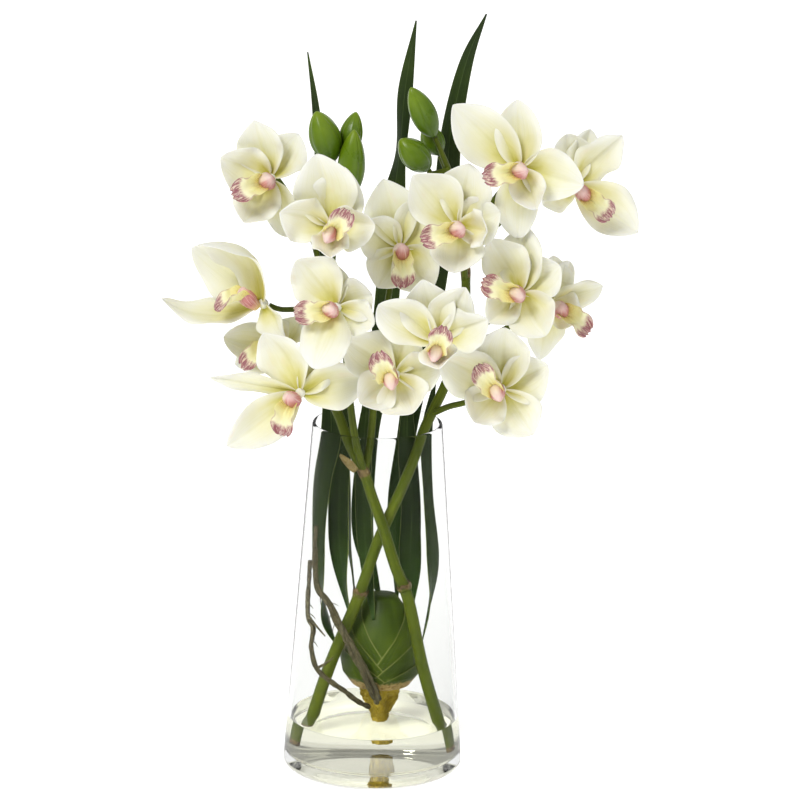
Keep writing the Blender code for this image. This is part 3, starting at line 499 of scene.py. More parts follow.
class Nodes:
    """Short calls for building the nodes of a material or of the world."""

    def __init__(self, name, kind="materials"):
        self.owner = getattr(bpy.data, kind).new(name)
        self.owner.use_nodes = True
        self.tree = self.owner.node_tree
        self.shader = self.tree.nodes.get("Principled BSDF")

    def new(self, kind, **settings):
        node = self.tree.nodes.new(kind)
        for key, value in settings.items():
            setattr(node, key, value)
        return node

    def feed(self, socket, value):
        if isinstance(value, bpy.types.NodeSocket):
            self.tree.links.new(value, socket)
        elif isinstance(value, tuple) and len(value) == 3 and socket.type == "RGBA":
            socket.default_value = (*value, 1.0)
        else:
            socket.default_value = value

    def made(self, kind, values, **settings):
        """The first output of a new node that is fed the values in order."""
        node = self.new(kind, **settings)
        for socket, value in zip(node.inputs, values):
            self.feed(socket, value)
        return node.outputs[0]

    def split(self, vector):
        node = self.new("ShaderNodeSeparateXYZ")
        self.feed(node.inputs[0], vector)
        return list(node.outputs)

    def tag(self):
        return self.split(self.new("ShaderNodeAttribute", attribute_name="tag").outputs["Vector"])

    def mark(self):
        return self.new("ShaderNodeAttribute", attribute_name="mark").outputs["Fac"]

    def place(self):
        return self.new("ShaderNodeTexCoord").outputs["Object"]

    def math(self, operation, *values):
        return self.made("ShaderNodeMath", values, operation=operation)

    def times(self, a, b):
        return self.math("MULTIPLY", a, b)

    def plus(self, a, b):
        return self.math("ADD", a, b)

    def sway(self, value, amount):
        """How far a value is from a half, times an amount."""
        return self.times(self.math("SUBTRACT", value, 0.5), amount)

    def vector(self, x, y, z):
        return self.made("ShaderNodeCombineXYZ", (x, y, z))

    def noise(self, vector, scale, detail=2.0, rough=0.5, warp=0.0):
        node = self.new("ShaderNodeTexNoise")
        self.feed(node.inputs["Vector"], vector)
        values = {"Scale": scale, "Detail": detail, "Roughness": rough, "Distortion": warp}
        for key, value in values.items():
            self.feed(node.inputs[key], value)
        return node.outputs["Fac"]

    def grain(self, tag, stretch, detail=2.0, rough=0.5, warp=0.0, scale=1.0):
        """Noise over a tag's three numbers, each stretched by its own factor."""
        spot = self.vector(*[self.times(value, factor) for value, factor in zip(tag, stretch)])
        return self.noise(spot, scale, detail, rough, warp)

    def band(self, value, low, high, out_low=0.0, out_high=1.0):
        values = (value, low, high, out_low, out_high)
        return self.made("ShaderNodeMapRange", values, interpolation_type="SMOOTHSTEP")

    def blend(self, factor, a, b):
        node = self.new("ShaderNodeMix", data_type="RGBA")
        for socket, value in ((node.inputs[0], factor), (node.inputs[6], a), (node.inputs[7], b)):
            self.feed(socket, value)
        return node.outputs[2]

    def ramp(self, value, stops):
        node = self.new("ShaderNodeValToRGB")
        ramp = node.color_ramp
        while len(ramp.elements) < len(stops):
            ramp.elements.new(0.5)
        for element, (at, colour) in zip(ramp.elements, stops):
            element.position = at
            element.color = (*colour, 1.0)
        self.feed(node.inputs[0], value)
        return node.outputs[0]

    def bump(self, height, distance, strength):
        node = self.new("ShaderNodeBump")
        self.feed(node.inputs["Height"], height)
        self.feed(node.inputs["Distance"], distance)
        self.feed(node.inputs["Strength"], strength)
        return node.outputs[0]

    def done(self, **inputs):
        for key, value in inputs.items():
            self.feed(self.shader.inputs[key.replace("_", " ")], value)
        return self.owner


def tepal_material():
    n = Nodes("orchid_tepal")
    t, s, _ = tag = n.tag()
    edge = n.math("ABSOLUTE", s)
    cloud = n.grain(tag, (2.2, 1.4, 3.1), 3.0, scale=1.6)
    shifted = n.plus(t, n.sway(cloud, 0.34))
    # Painted light: the edges are pushed towards the pale end of the ramp, as if the thin rims were lit
    # through.
    shifted = n.plus(shifted, n.times(n.math("POWER", edge, 2.0), 0.16))
    # The ramp runs from the yellow-green throat to the cream tip, the tepal's own colours; its darkest
    # stops at the base also hold painted shade for the flower's deep centre.
    body = n.ramp(shifted, (
        (0.00, (0.36, 0.35, 0.03)),
        (0.10, (0.56, 0.52, 0.09)),
        (0.24, (0.72, 0.68, 0.30)),
        (0.44, (0.81, 0.79, 0.55)),
        (0.70, (0.845, 0.84, 0.70)),
        (1.00, (0.865, 0.865, 0.79)),
    ))
    veins = n.grain(tag, (1.3, 17.0, 7.7), 2.0)
    colour = n.blend(n.band(veins, 0.48, 0.72, 0.0, 0.16), body, (0.68, 0.66, 0.30))
    keel = n.band(edge, 0.0, 0.13, 1.0, 0.0)
    colour = n.blend(n.times(keel, n.band(t, 0.05, 0.9, 0.34, 0.06)), colour, (0.60, 0.57, 0.20))
    # Painted light: paler rims, as if lit through the thin edge.
    colour = n.blend(n.band(edge, 0.45, 1.0, 0.0, 0.60), colour, (0.87, 0.868, 0.79))
    rosy = n.grain(tag, (3.0, 2.0, 13.7), 3.0)
    colour = n.blend(n.band(rosy, 0.58, 0.80, 0.0, 0.22), colour, (0.84, 0.66, 0.44))
    fine = n.grain(tag, (60.0, 42.0, 1.0), 3.0)
    height = n.plus(n.times(veins, 0.8), n.times(fine, 0.22))
    return n.done(
        Base_Color=colour,
        Roughness=n.band(fine, 0.3, 0.7, 0.46, 0.60),
        Normal=n.bump(height, 0.0006, 0.40),
        Subsurface_Weight=0.15,
        Subsurface_Radius=(0.004, 0.0035, 0.0015),
        Subsurface_Scale=1.0,
        Specular_IOR_Level=0.25,
    )


def lip_material():
    n = Nodes("orchid_lip")
    t, s, number = tag = n.tag()
    edge = n.math("ABSOLUTE", s)
    wander = n.grain(tag, (5.0, 3.0, 5.3), 2.0)
    body = n.ramp(n.plus(t, n.sway(wander, 0.25)), (
        (0.00, (0.52, 0.26, 0.05)),
        (0.20, (0.72, 0.55, 0.12)),
        (0.45, (0.84, 0.78, 0.32)),
        (0.75, (0.88, 0.85, 0.56)),
        (1.00, (0.90, 0.88, 0.70)),
    ))
    dots = n.new("ShaderNodeTexVoronoi", feature="F1")
    n.feed(dots.inputs["Vector"], n.vector(n.times(t, 17.0), n.times(s, 7.0), number))
    near = n.band(dots.outputs["Distance"], 0.20, 0.34, 1.0, 0.0)
    spots = n.times(near, n.band(t, 0.38, 0.56, 0.85, 0.0))
    colour = n.blend(spots, body, (0.24, 0.025, 0.02))
    lines = n.grain(tag, (7.0, 9.0, 9.1), 4.0, 0.7, 0.8)
    front = n.band(n.plus(t, n.times(wander, 0.16)), 0.84, 0.95)
    side = n.times(n.band(edge, 0.90, 0.98), n.band(t, 0.50, 0.72, 0.0, 0.6))
    stripes = n.times(n.math("MAXIMUM", front, side), n.band(lines, 0.38, 0.54))
    colour = n.blend(n.times(front, 0.45), colour, (0.62, 0.34, 0.32))
    colour = n.blend(n.times(stripes, 0.88), colour, (0.26, 0.045, 0.085))
    fine = n.grain(tag, (50.0, 40.0, 1.0), 3.0)
    return n.done(
        Base_Color=colour,
        Roughness=n.band(fine, 0.3, 0.7, 0.40, 0.58),
        Normal=n.bump(n.plus(lines, n.times(fine, 0.3)), 0.0005, 0.5),
        Subsurface_Weight=0.15,
        Subsurface_Radius=(0.003, 0.002, 0.001),
        Subsurface_Scale=1.0,
        Specular_IOR_Level=0.4,
    )


def column_material():
    n = Nodes("orchid_column")
    run, x, _ = tag = n.tag()
    mottle = n.grain(tag, (500.0, 4.0, 4.0), 4.0, 0.6)
    streak = n.grain(tag, (90.0, 14.0, 14.0), 2.0)
    pink = n.ramp(n.plus(n.times(run, 62.0), n.sway(mottle, 0.5)), (
        (0.00, (0.72, 0.56, 0.18)),
        (0.20, (0.66, 0.36, 0.20)),
        (0.48, (0.50, 0.16, 0.15)),
        (1.00, (0.58, 0.24, 0.23)),
    ))
    colour = n.blend(n.band(streak, 0.50, 0.70, 0.0, 0.7), pink, (0.78, 0.56, 0.50))
    colour = n.blend(n.band(mottle, 0.56, 0.72, 0.0, 0.55), colour, (0.34, 0.07, 0.09))
    colour = n.blend(n.band(x, 0.22, 0.46, 0.0, 0.8), colour, (0.86, 0.74, 0.60))
    colour = n.blend(n.mark(), colour, (0.84, 0.60, 0.56))
    return n.done(
        Base_Color=colour,
        Roughness=n.band(mottle, 0.3, 0.7, 0.34, 0.50),
        Normal=n.bump(mottle, 0.0005, 0.4),
        Subsurface_Weight=0.12,
        Subsurface_Radius=(0.003, 0.0015, 0.001),
        Subsurface_Scale=1.0,
    )


def bud_material():
    n = Nodes("orchid_bud")
    t, _, _ = tag = n.tag()
    spot = n.place()
    cloud = n.noise(spot, 70.0, 3.0)
    body = n.ramp(n.plus(t, n.sway(cloud, 0.7)), (
        (0.0, (0.050, 0.105, 0.004)),
        (0.45, (0.095, 0.172, 0.003)),
        (1.0, (0.185, 0.275, 0.006)),
    ))
    streak = n.grain(tag, (2.0, 60.0, 3.7), 2.0)
    colour = n.blend(n.band(streak, 0.52, 0.74, 0.0, 0.4), body, (0.06, 0.15, 0.008))
    stain = n.grain(tag, (2.6, 11.0, 11.3), 4.0, 0.6)
    colour = n.blend(n.band(stain, 0.66, 0.74, 0.0, 0.62), colour, (0.075, 0.050, 0.010))
    colour = n.blend(n.times(n.mark(), 0.6), colour, (0.20, 0.32, 0.05))
    return n.done(
        Base_Color=colour,
        Roughness=n.band(cloud, 0.3, 0.7, 0.26, 0.42),
        Normal=n.bump(n.plus(n.times(streak, 0.5), n.noise(spot, 260.0, 2.0)), 0.0005, 0.35),
        Coat_Weight=0.10,
        Coat_Roughness=0.22,
        Specular_IOR_Level=0.32,
    )


def stem_material():
    n = Nodes("orchid_stem")
    tag = n.tag()
    spot = n.place()
    streak = n.grain(tag, (14.0, 16.0, 16.0), 3.0)
    cloud = n.noise(spot, 45.0, 3.0)
    body = n.ramp(n.plus(n.times(streak, 0.6), n.times(cloud, 0.4)), (
        (0.25, (0.038, 0.056, 0.002)),
        (0.50, (0.080, 0.110, 0.003)),
        (0.75, (0.155, 0.190, 0.009)),
    ))
    scar = n.noise(spot, 420.0, 3.0)
    dry = n.ramp(scar, ((0.35, (0.055, 0.030, 0.014)), (0.65, (0.24, 0.17, 0.07))))
    colour = n.blend(n.band(n.plus(n.mark(), n.sway(scar, 0.7)), 0.40, 0.62), body, dry)
    return n.done(
        Base_Color=colour,
        Roughness=n.band(cloud, 0.3, 0.7, 0.36, 0.52),
        Normal=n.bump(n.plus(streak, n.times(scar, 0.4)), 0.0006, 0.4),
        Specular_IOR_Level=0.22,
    )


def leaf_material():
    n = Nodes("orchid_leaf")
    t, s, _ = tag = n.tag()
    edge = n.math("ABSOLUTE", s)
    lines = n.grain(tag, (3.0, 26.0, 5.9), 2.0)
    cloud = n.noise(n.place(), 22.0, 3.0)
    body = n.ramp(n.plus(n.times(lines, 0.45), n.times(cloud, 0.55)), (
        (0.28, (0.009, 0.019, 0.004)),
        (0.52, (0.021, 0.041, 0.005)),
        (0.76, (0.048, 0.084, 0.008)),
    ))
    low = n.band(t, 0.0, 0.42, 0.62, 0.0)
    colour = n.blend(low, body, n.blend(lines, (0.030, 0.075, 0.010), (0.060, 0.135, 0.018)))
    colour = n.blend(n.band(edge, 0.94, 0.975, 0.0, 0.80), colour, (0.26, 0.31, 0.10))
    colour = n.blend(n.band(edge, 0.0, 0.055, 0.55, 0.0), colour, (0.095, 0.140, 0.045))
    return n.done(
        Base_Color=colour,
        Roughness=n.band(cloud, 0.3, 0.7, 0.38, 0.54),
        Normal=n.bump(lines, 0.0006, 0.5),
        Specular_IOR_Level=0.20,
    )


def bulb_material():
    n = Nodes("orchid_bulb")
    tag = n.tag()
    spot = n.place()
    z = n.split(spot)[2]
    lines = n.grain(tag, (1.5, 20.0, 4.1), 2.0)
    cloud = n.noise(spot, 60.0, 3.0)
    body = n.ramp(n.plus(n.times(lines, 0.5), n.times(cloud, 0.5)), (
        (0.28, (0.022, 0.040, 0.002)),
        (0.52, (0.050, 0.082, 0.003)),
        (0.78, (0.105, 0.150, 0.008)),
    ))
    colour = n.blend(n.times(n.mark(), 0.80), body, (0.25, 0.28, 0.075))
    ragged = n.noise(spot, 240.0, 4.0, 0.65)
    dry = n.ramp(n.noise(spot, 500.0, 3.0), ((0.35, (0.22, 0.13, 0.03)), (0.65, (0.52, 0.38, 0.14))))
    low = n.band(n.plus(z, n.times(ragged, 0.010)), 0.0700, 0.0716, 1.0, 0.0)
    return n.done(
        Base_Color=n.blend(low, colour, dry),
        Roughness=n.band(cloud, 0.3, 0.7, 0.40, 0.62),
        Normal=n.bump(n.plus(lines, n.times(ragged, 0.3)), 0.0006, 0.5),
        Specular_IOR_Level=0.18,
    )


def root_material(name, dark, mid, light, scale):
    n = Nodes(name)
    tag = n.tag()
    spot = n.place()
    bark = n.grain(tag, (160.0, 9.0, 9.0), 4.0, 0.65)
    grain = n.noise(spot, scale, 4.0, 0.6)
    colour = n.ramp(n.plus(n.times(bark, 0.6), n.times(grain, 0.4)), (
        (0.34, dark), (0.50, mid), (0.66, light),
    ))
    return n.done(
        Base_Color=colour,
        Roughness=n.band(grain, 0.3, 0.7, 0.70, 0.92),
        Normal=n.bump(n.plus(bark, n.times(grain, 0.6)), 0.0010, 0.9),
        Specular_IOR_Level=0.3,
    )


def clear_material(name, tint, ior, ripple, shade):
    """Clear glass or water that casts only a faint shadow."""
    n = Nodes(name)
    cloud = n.noise(n.place(), ripple, 2.0)
    n.done(
        Base_Color=n.blend(n.band(cloud, 0.3, 0.7), tint, tuple(min(1.0, c * 1.01) for c in tint)),
        Roughness=0.0,
        Normal=n.bump(cloud, 0.0004, 0.06),
        Transmission_Weight=1.0,
        IOR=ior,
    )
    see = n.new("ShaderNodeBsdfTransparent")
    see.inputs["Color"].default_value = (*shade, 1.0)
    mix = n.new("ShaderNodeMixShader")
    path = n.new("ShaderNodeLightPath")
    n.feed(mix.inputs[0], path.outputs["Is Shadow Ray"])
    n.feed(mix.inputs[1], n.shader.outputs[0])
    n.feed(mix.inputs[2], see.outputs[0])
    output = next(node for node in n.tree.nodes if node.type == "OUTPUT_MATERIAL")
    n.feed(output.inputs["Surface"], mix.outputs[0])
    return n.owner


# Flowers

def flower_frame(azimuth, elevation):
    turn, tilt = math.radians(azimuth), math.radians(elevation)
    facing = np.array([math.sin(turn) * math.cos(tilt), -math.cos(turn) * math.cos(tilt), math.sin(tilt)])
    right = np.array([math.cos(turn), math.sin(turn), 0.0])
    return facing, right, np.cross(facing, right)


def blade_axes(frame_axes, clock, lean):
    facing, right, up = frame_axes
    turn, tilt = math.radians(clock), math.radians(lean)
    outward = math.cos(turn) * right + math.sin(turn) * up
    along = math.cos(tilt) * facing + math.sin(tilt) * outward
    inward = math.sin(tilt) * facing - math.cos(tilt) * outward
    return along, inward, np.cross(along, inward)


def tepal_grid(centre, axes, tepal, rng, high=34, wide=21):
    """A tepal with a keel along its middle, rippled and curled edges and a pinched tip."""
    clock, lean, length, width, cup, bow = tepal
    along, inward, side = blade_axes(axes, clock, lean)
    t = np.sin(np.linspace(0, 0.5 * math.pi, high))[:, None] * 0.35 + np.linspace(0, 0.65, high)[:, None]
    s = across(wide)[None, :]
    swell = np.sin(math.pi * np.clip(t, 0, 1) ** rng.uniform(0.92, 1.18)) ** rng.uniform(0.58, 0.78)
    swell[-1] = 0.0
    half = np.maximum((0.5 * swell + TEPAL_NECK * (1 - t) ** 2) * width * MM, SMALLEST_HALF_WIDTH)
    half = half * (1 + 0.09 * rng.uniform(-1, 1) * np.sign(s))
    half = half * (1 + 0.03 * np.sin(7 * t + 3 * s + rng.uniform(0, 6)))
    bend = bow * length * MM * 4 * t * (1 - t)
    lift = bend + half * (cup + math.copysign(rng.uniform(0.05, 0.22), cup)) * s * s
    body = np.sin(math.pi * t)
    keel = TEPAL_KEEL + TEPAL_KEEL_SPREAD * rng.uniform(-1, 1)
    lift = lift - keel * bell(s, 0.20) * body
    lift = lift + TEPAL_RIPPLE * np.sin(5 * t + 4 * s + rng.uniform(0, 6)) * body
    phase = rng.uniform(0, 2 * math.pi, 3)
    waves = 1.3 + rng.uniform(0, 1.2)
    ripple = np.sin(2 * math.pi * waves * t + phase[0] + (s > 0) * phase[1])
    lift = lift + TEPAL_EDGE_WAVE * np.abs(s) ** 3 * ripple * body
    roll = TEPAL_EDGE_ROLL + TEPAL_EDGE_ROLL_SPREAD * rng.uniform(-1, 1, 2)
    roll = np.where(s > 0, roll[0], roll[1]) * climb(np.abs(s), 0.60, 0.40) ** 2
    lift = lift - roll * (0.4 + 0.6 * np.sin(4 * t + rng.uniform(0, 6)) ** 2) * body
    curl = rng.uniform(-0.16, 0.05) * length * MM
    lift = lift + curl * climb(t, 0.66, 0.34) ** 2
    sway = rng.uniform(-0.02, 0.02) * length * MM * np.sin(math.pi * t)
    reach = length * MM * (0.03 + 0.97 * t)
    spread = half * s + sway
    return centre + reach[..., None] * along + lift[..., None] * inward + spread[..., None] * side


def make_tepals(name, flower, seed, materials):
    centre, azimuth, elevation, _, tepals = flower
    centre = placed(centre)
    axes = flower_frame(azimuth, elevation)
    rng = np.random.default_rng(seed)
    shell = Shell()
    for number, tepal in enumerate(tepals):
        blade(shell, tepal_grid(centre, axes, tepal, rng), TEPAL_THICKNESS, seed * 7 + number)
    core = ball(RECEPTACLE_RADIUS, 0.15, 3.0, 12)
    turned(shell, core, 20, seed, shape=lambda points, t, angle: points + centre)
    finished(shell, f"petals_{name}", f"flower_{name}_tepals", materials)


def lip_grid(base, axes, clock, lean, rng, high=40, wide=31):
    """A lip with side lobes that rise by the column, two ridges along the throat and a frilled front."""
    along, inward, side = blade_axes(axes, clock, lean)
    t = np.linspace(0, 1, high)[:, None]
    s = across(wide)[None, :]
    outline = 0.34 + 0.80 * t - 0.28 * t**3 - 0.16 * bell(t - 0.70, 0.07)
    outline = outline * np.sqrt(np.clip(1 - climb(t, 0.86, 0.17) ** 2, 0.12, 1))
    half = LIP_HALF_WIDTH * outline
    rise = LIP_SIDE_RISE * (0.30 + 2.9 * t - 2.9 * t * t)
    lift = LIP_ARCH * LIP_LENGTH * 4 * t * (1 - t) - LIP_DROP * t**4 + rise * s * s
    throat = np.clip(t / 0.12, 0, 1) * np.clip((0.66 - t) / 0.12, 0, 1)
    lift = lift + LIP_RIDGE * bell(np.abs(s) - 0.15, 0.07) * throat
    phase = rng.uniform(0, 2 * math.pi, 2)
    frill = climb(t, 0.62, 0.38)
    lift = lift + LIP_FRILL * frill * np.sin(9 * s + phase[0]) * np.abs(s) ** 0.5
    lift = lift + LIP_EDGE_WAVE * np.abs(s) ** 4 * np.sin(16 * t + phase[1])
    reach = LIP_LENGTH * (t + 0.02 * frill * np.sin(11 * s + phase[1]))
    return base + reach[..., None] * along + lift[..., None] * inward + (half * s)[..., None] * side


def make_lip(name, flower, seed, materials):
    centre, azimuth, elevation, (clock, lean), _ = flower
    axes = flower_frame(azimuth, elevation)
    facing = axes[0]
    down = blade_axes(axes, clock, 90)[0]
    rng = np.random.default_rng(1000 + seed)
    base = placed(centre) + facing * (RECEPTACLE_RADIUS + CLEARANCE)
    shell = Shell()
    blade(shell, lip_grid(base + facing * LIP_LIFT, axes, clock, lean, rng), LIP_THICKNESS, seed)
    tip = (COLUMN_LENGTH - 0.001, -COLUMN_DROP)
    arch = ((0.0, 0.0030), (0.005, 0.0012), (0.010, -0.0010), (0.014, -0.0036), tip)
    line = smooth_path([base + facing * forward + down * drop for forward, drop in arch], 26)
    t = np.linspace(0, 1, 27)
    radii = COLUMN_RADIUS * (0.74 + 0.50 * np.sin(math.pi * np.clip(t * 0.95, 0, 1)) ** 1.3)
    radii *= np.sqrt(np.clip(1 - climb(t, 0.62, 0.40) ** 2, 0.02, 1))
    groove = lambda along, angle: 0.10 * np.cos(2 * angle + 0.6) + 0.035 * np.sin(5 * angle + 9 * along)
    tube(shell, line, radii, 20, seed, rough=groove, marks=climb(t, 0.80, 0.12) * 0.7, kind=1)
    cap = line[-4] + down * 0.0016
    anther = ball(ANTHER_RADIUS, 0.2, 2.95, 10)
    turned(shell, anther, 14, seed, shape=lambda points, t, angle: points + cap, kind=1)
    finished(shell, f"lip_{name}", f"flower_{name}_lip", materials)


def flower_back(name):
    centre, azimuth, elevation = FLOWERS[name][:3]
    facing = flower_frame(azimuth, elevation)[0]
    end = placed(centre) - facing * (RECEPTACLE_RADIUS + CLEARANCE)
    return end - facing * FLOWER_BACK, end


def make_bud(name, bud, seed, material):
    _, _, base, tip, radius = bud
    base, tip = placed(base), placed(tip)
    length = float(np.linalg.norm(tip - base))
    radius *= MM
    ends = np.linspace(0.004, 0.10, 6), np.linspace(0.92, 0.998, 8)
    spots = np.concatenate([ends[0], np.linspace(0.13, 0.90, 22), ends[1]])
    profile = [(radius * math.sin(math.pi * t**0.9) ** 0.65, length * t) for t in spots]
    turn = np.array(Vector(tip - base).to_track_quat("Z", "Y").to_matrix())
    start = 0.9 * seed

    def sepals(points, t, angle):
        seam = np.abs((angle - start + 0.5 * math.sin(seed) * t) % (2 * math.pi / 3) - math.pi / 3)
        ends = np.sin(math.pi * np.clip(t * 0.97, 0, 1)) ** 0.4
        groove = 1 - BUD_GROOVE * bell(math.pi / 3 - seam, 0.10) * ends
        ridge = 1 + BUD_RIDGE * bell(seam, 0.13)
        flat = 1 - 0.05 * np.cos(2 * (angle - start))
        scale = (groove * ridge * flat)[..., None]
        scale = np.concatenate([scale, scale, np.ones_like(scale)], axis=-1)
        return (points * scale) @ turn.T + base

    shell = Shell()
    turned(shell, profile, 60, seed, shape=sepals)
    finished(shell, f"orchid_{name}", name, [material])


# Spikes

STEM_SCARS = {"left": ((0.143, 0.0016), (0.2285, 0.0035)), "right": ((0.1335, 0.0018), (0.374, 0.0045))}


def scarred_stem(shell, path, scars, number):
    line = smooth_path(placed(path), 170)
    z = line[:, 2]
    radii = np.linspace(STEM_RADIUS, STEM_TOP_RADIUS, len(line))
    marks = np.zeros(len(line))
    for height, spread in scars:
        near = bell(z - height, spread)
        radii = radii * (1 + SCAR_SWELL * near)
        marks = np.maximum(marks, near)
    marks[:2] = 0.8
    rough = lambda t, angle: 0.025 * np.sin(3 * angle + 20 * t) + 0.015 * np.sin(7 * angle - 35 * t)
    tube(shell, line, radii, 22, number, rough=rough, marks=marks)
    return line


def collar(shell, line, height, number):
    """A torn sheath's collar around a stem at a height."""
    at = int(np.argmin(np.abs(line[:, 2] - height)))
    first, second = carried_frames(line)
    tangent = unit(line[at + 1] - line[at - 1])
    angle = np.linspace(0, 2 * math.pi, 41)
    high = 7
    rng = np.random.default_rng(77 + number)
    tall = 0.0025 + 0.0028 * np.abs(np.sin(2.5 * angle + number)) + 0.0012 * rng.random(41)
    rows = []
    for t in np.linspace(0, 1, high):
        reach = STEM_RADIUS * (1.02 + 0.22 * t)
        ring = np.cos(angle)[:, None] * first[at] + np.sin(angle)[:, None] * second[at]
        rows.append(line[at] + ring * reach + tangent * (tall * t - 0.001)[:, None])
    marks = np.linspace(0.3, 1, high)[:, None] + np.zeros((high, 41))
    blade(shell, np.array(rows), COLLAR_THICKNESS, number, marks=marks)


def pedicels(shell, spike, number):
    for name, (bearer, path) in PEDICELS.items():
        if bearer == spike:
            line = smooth_path([*placed(path), *flower_back(name)], 34)
            number += 1
            tube(shell, line, np.linspace(1.25, 1.0, 35) * PEDICEL_RADIUS, 14, number)
    for bearer, path, base, tip, _ in BUDS.values():
        if bearer == spike:
            base, tip = placed(base), placed(tip)
            end = base - unit(tip - base) * CLEARANCE
            line = smooth_path([*placed(path), end - unit(tip - base) * 0.004, end], 24)
            number += 1
            tube(shell, line, np.linspace(1.2, 1.0, 25) * PEDICEL_RADIUS, 14, number)


def make_spike(name, path, bearers, branches, material):
    shell = Shell()
    line = scarred_stem(shell, path, STEM_SCARS[name], 0)
    collar(shell, line, STEM_SCARS[name][0][0] - 0.001, 3 if name == "left" else 5)
    for number, branch in enumerate(branches):
        fine = smooth_path(placed(branch), 50)
        tube(shell, fine, np.linspace(STEM_TOP_RADIUS, 1.3 * PEDICEL_RADIUS, 51), 18, 20 + number)
    for bearer in bearers:
        pedicels(shell, bearer, 30)
    finished(shell, f"spike_{name}", f"flower_spike_{name}", [material])


# Leaves, bulb and roots

def radius_at(profile, height):
    radii, heights = zip(*profile)
    return float(np.interp(height, heights, radii))


def around(turn, reach, height):
    """The point at an angle and a distance from the bulb's axis."""
    return np.array([BULB_X + reach * math.cos(turn), BULB_Y + reach * math.sin(turn), height])


def bulb_point(bearing, height, lift):
    return around(math.radians(bearing), radius_at(BULB_PROFILE, height) + lift, height)


def leaf_grid(leaf, high=110, wide=13):
    bearing, foot, points = leaf
    turn = math.radians(bearing)
    lift = CLEARANCE + LEAF_THICKNESS
    if foot < SHEATH_TOP:
        lift += SHEATH_REACH
    path = [(*bulb_point(bearing, foot * MM, lift), 1.2 * MM, 0.0)]
    path += [(*placed(point[:3]), point[3] * MM, point[4]) for point in points]
    line = smooth_path(path, high - 1)
    tangents = np.gradient(line[:, :3], axis=0)
    outward = np.array([math.cos(turn), math.sin(turn), 0.0])
    s = across(wide)
    rows = []
    for i, (point, tangent) in enumerate(zip(line, tangents)):
        tangent = unit(tangent)
        fade = min(1.0, i / (0.35 * (high - 1)))
        ahead = np.array([0.0, -1.0 if outward[1] < 0.2 else 1.0, 0.0])
        face = unit(outward * (1 - fade) + ahead * fade)
        face = unit(face - tangent * np.dot(face, tangent))
        side = np.cross(tangent, face)
        twist = math.radians(point[4])
        side = side * math.cos(twist) + face * math.sin(twist)
        normal = np.cross(side, tangent)
        half = max(point[3], SMALLEST_HALF_WIDTH)
        fold = LEAF_FOLD * (np.sqrt(s * s + 0.012) - 0.10) - 0.03 * (1 - np.abs(s))
        rows.append(point[:3] + side * (half * s)[:, None] + normal * (half * fold)[:, None])
    return np.array(rows)


def make_leaf(name, leaf, number, material):
    shell = Shell()
    blade(shell, leaf_grid(leaf), LEAF_THICKNESS, number)
    finished(shell, f"strap_leaf_{name}", f"leaf_{name}", [material])


# Sheaths that hug the bulb, inmost first: bearing (degrees), foot and tip height (mm), half width (degrees)
LAYERS = (
    (60, 58, 112, 78), (125, 58, 108, 78), (-158, 58, 122, 96), (-22, 58, 118, 96), (-158, 58, 106, 92),
    (-22, 58, 97, 92), (-155, 58, 88, 86), (-25, 58, 78, 82),
)


def sheath_grid(sheath, lift, high=44, wide=33):
    bearing, foot, tip, spread = sheath
    rows = []
    for t in np.linspace(0, 1, high):
        height = (foot + (tip - foot) * t) * MM
        half = max(spread * (1 - t) ** 0.8 * (1 + 0.35 * t), 0.6)
        edge = across(wide)
        reach = lift + 0.0007 * np.abs(edge) ** 8 + 0.0005 * t
        rows.append([bulb_point(bearing + half * s, height, out) for s, out in zip(edge, reach)])
    return np.array(rows)


def make_bulb(material):
    shell = Shell()
    profile = smooth_path([(radius, 0.0, height) for radius, height in BULB_PROFILE], 40)[:, [0, 2]]
    offset = np.array([BULB_X, BULB_Y, 0.0])
    turned(shell, profile, 64, 0, shape=lambda points, t, angle: points + offset)
    for number, sheath in enumerate(LAYERS):
        grid = sheath_grid(sheath, BULB_SHEATH_STEP * (number + 1))
        high, wide = grid.shape[:2]
        t = np.linspace(0, 1, high)[:, None]
        s = np.abs(across(wide))[None, :]
        marks = np.maximum(climb(s, 0.965, 0.02) + 0 * t, climb(t, 0.965, 0.025) + 0 * s)
        blade(shell, grid, BULB_SHEATH_THICKNESS, number + 1, marks=marks)
    finished(shell, "orchid_bulb", "bulb", [material])


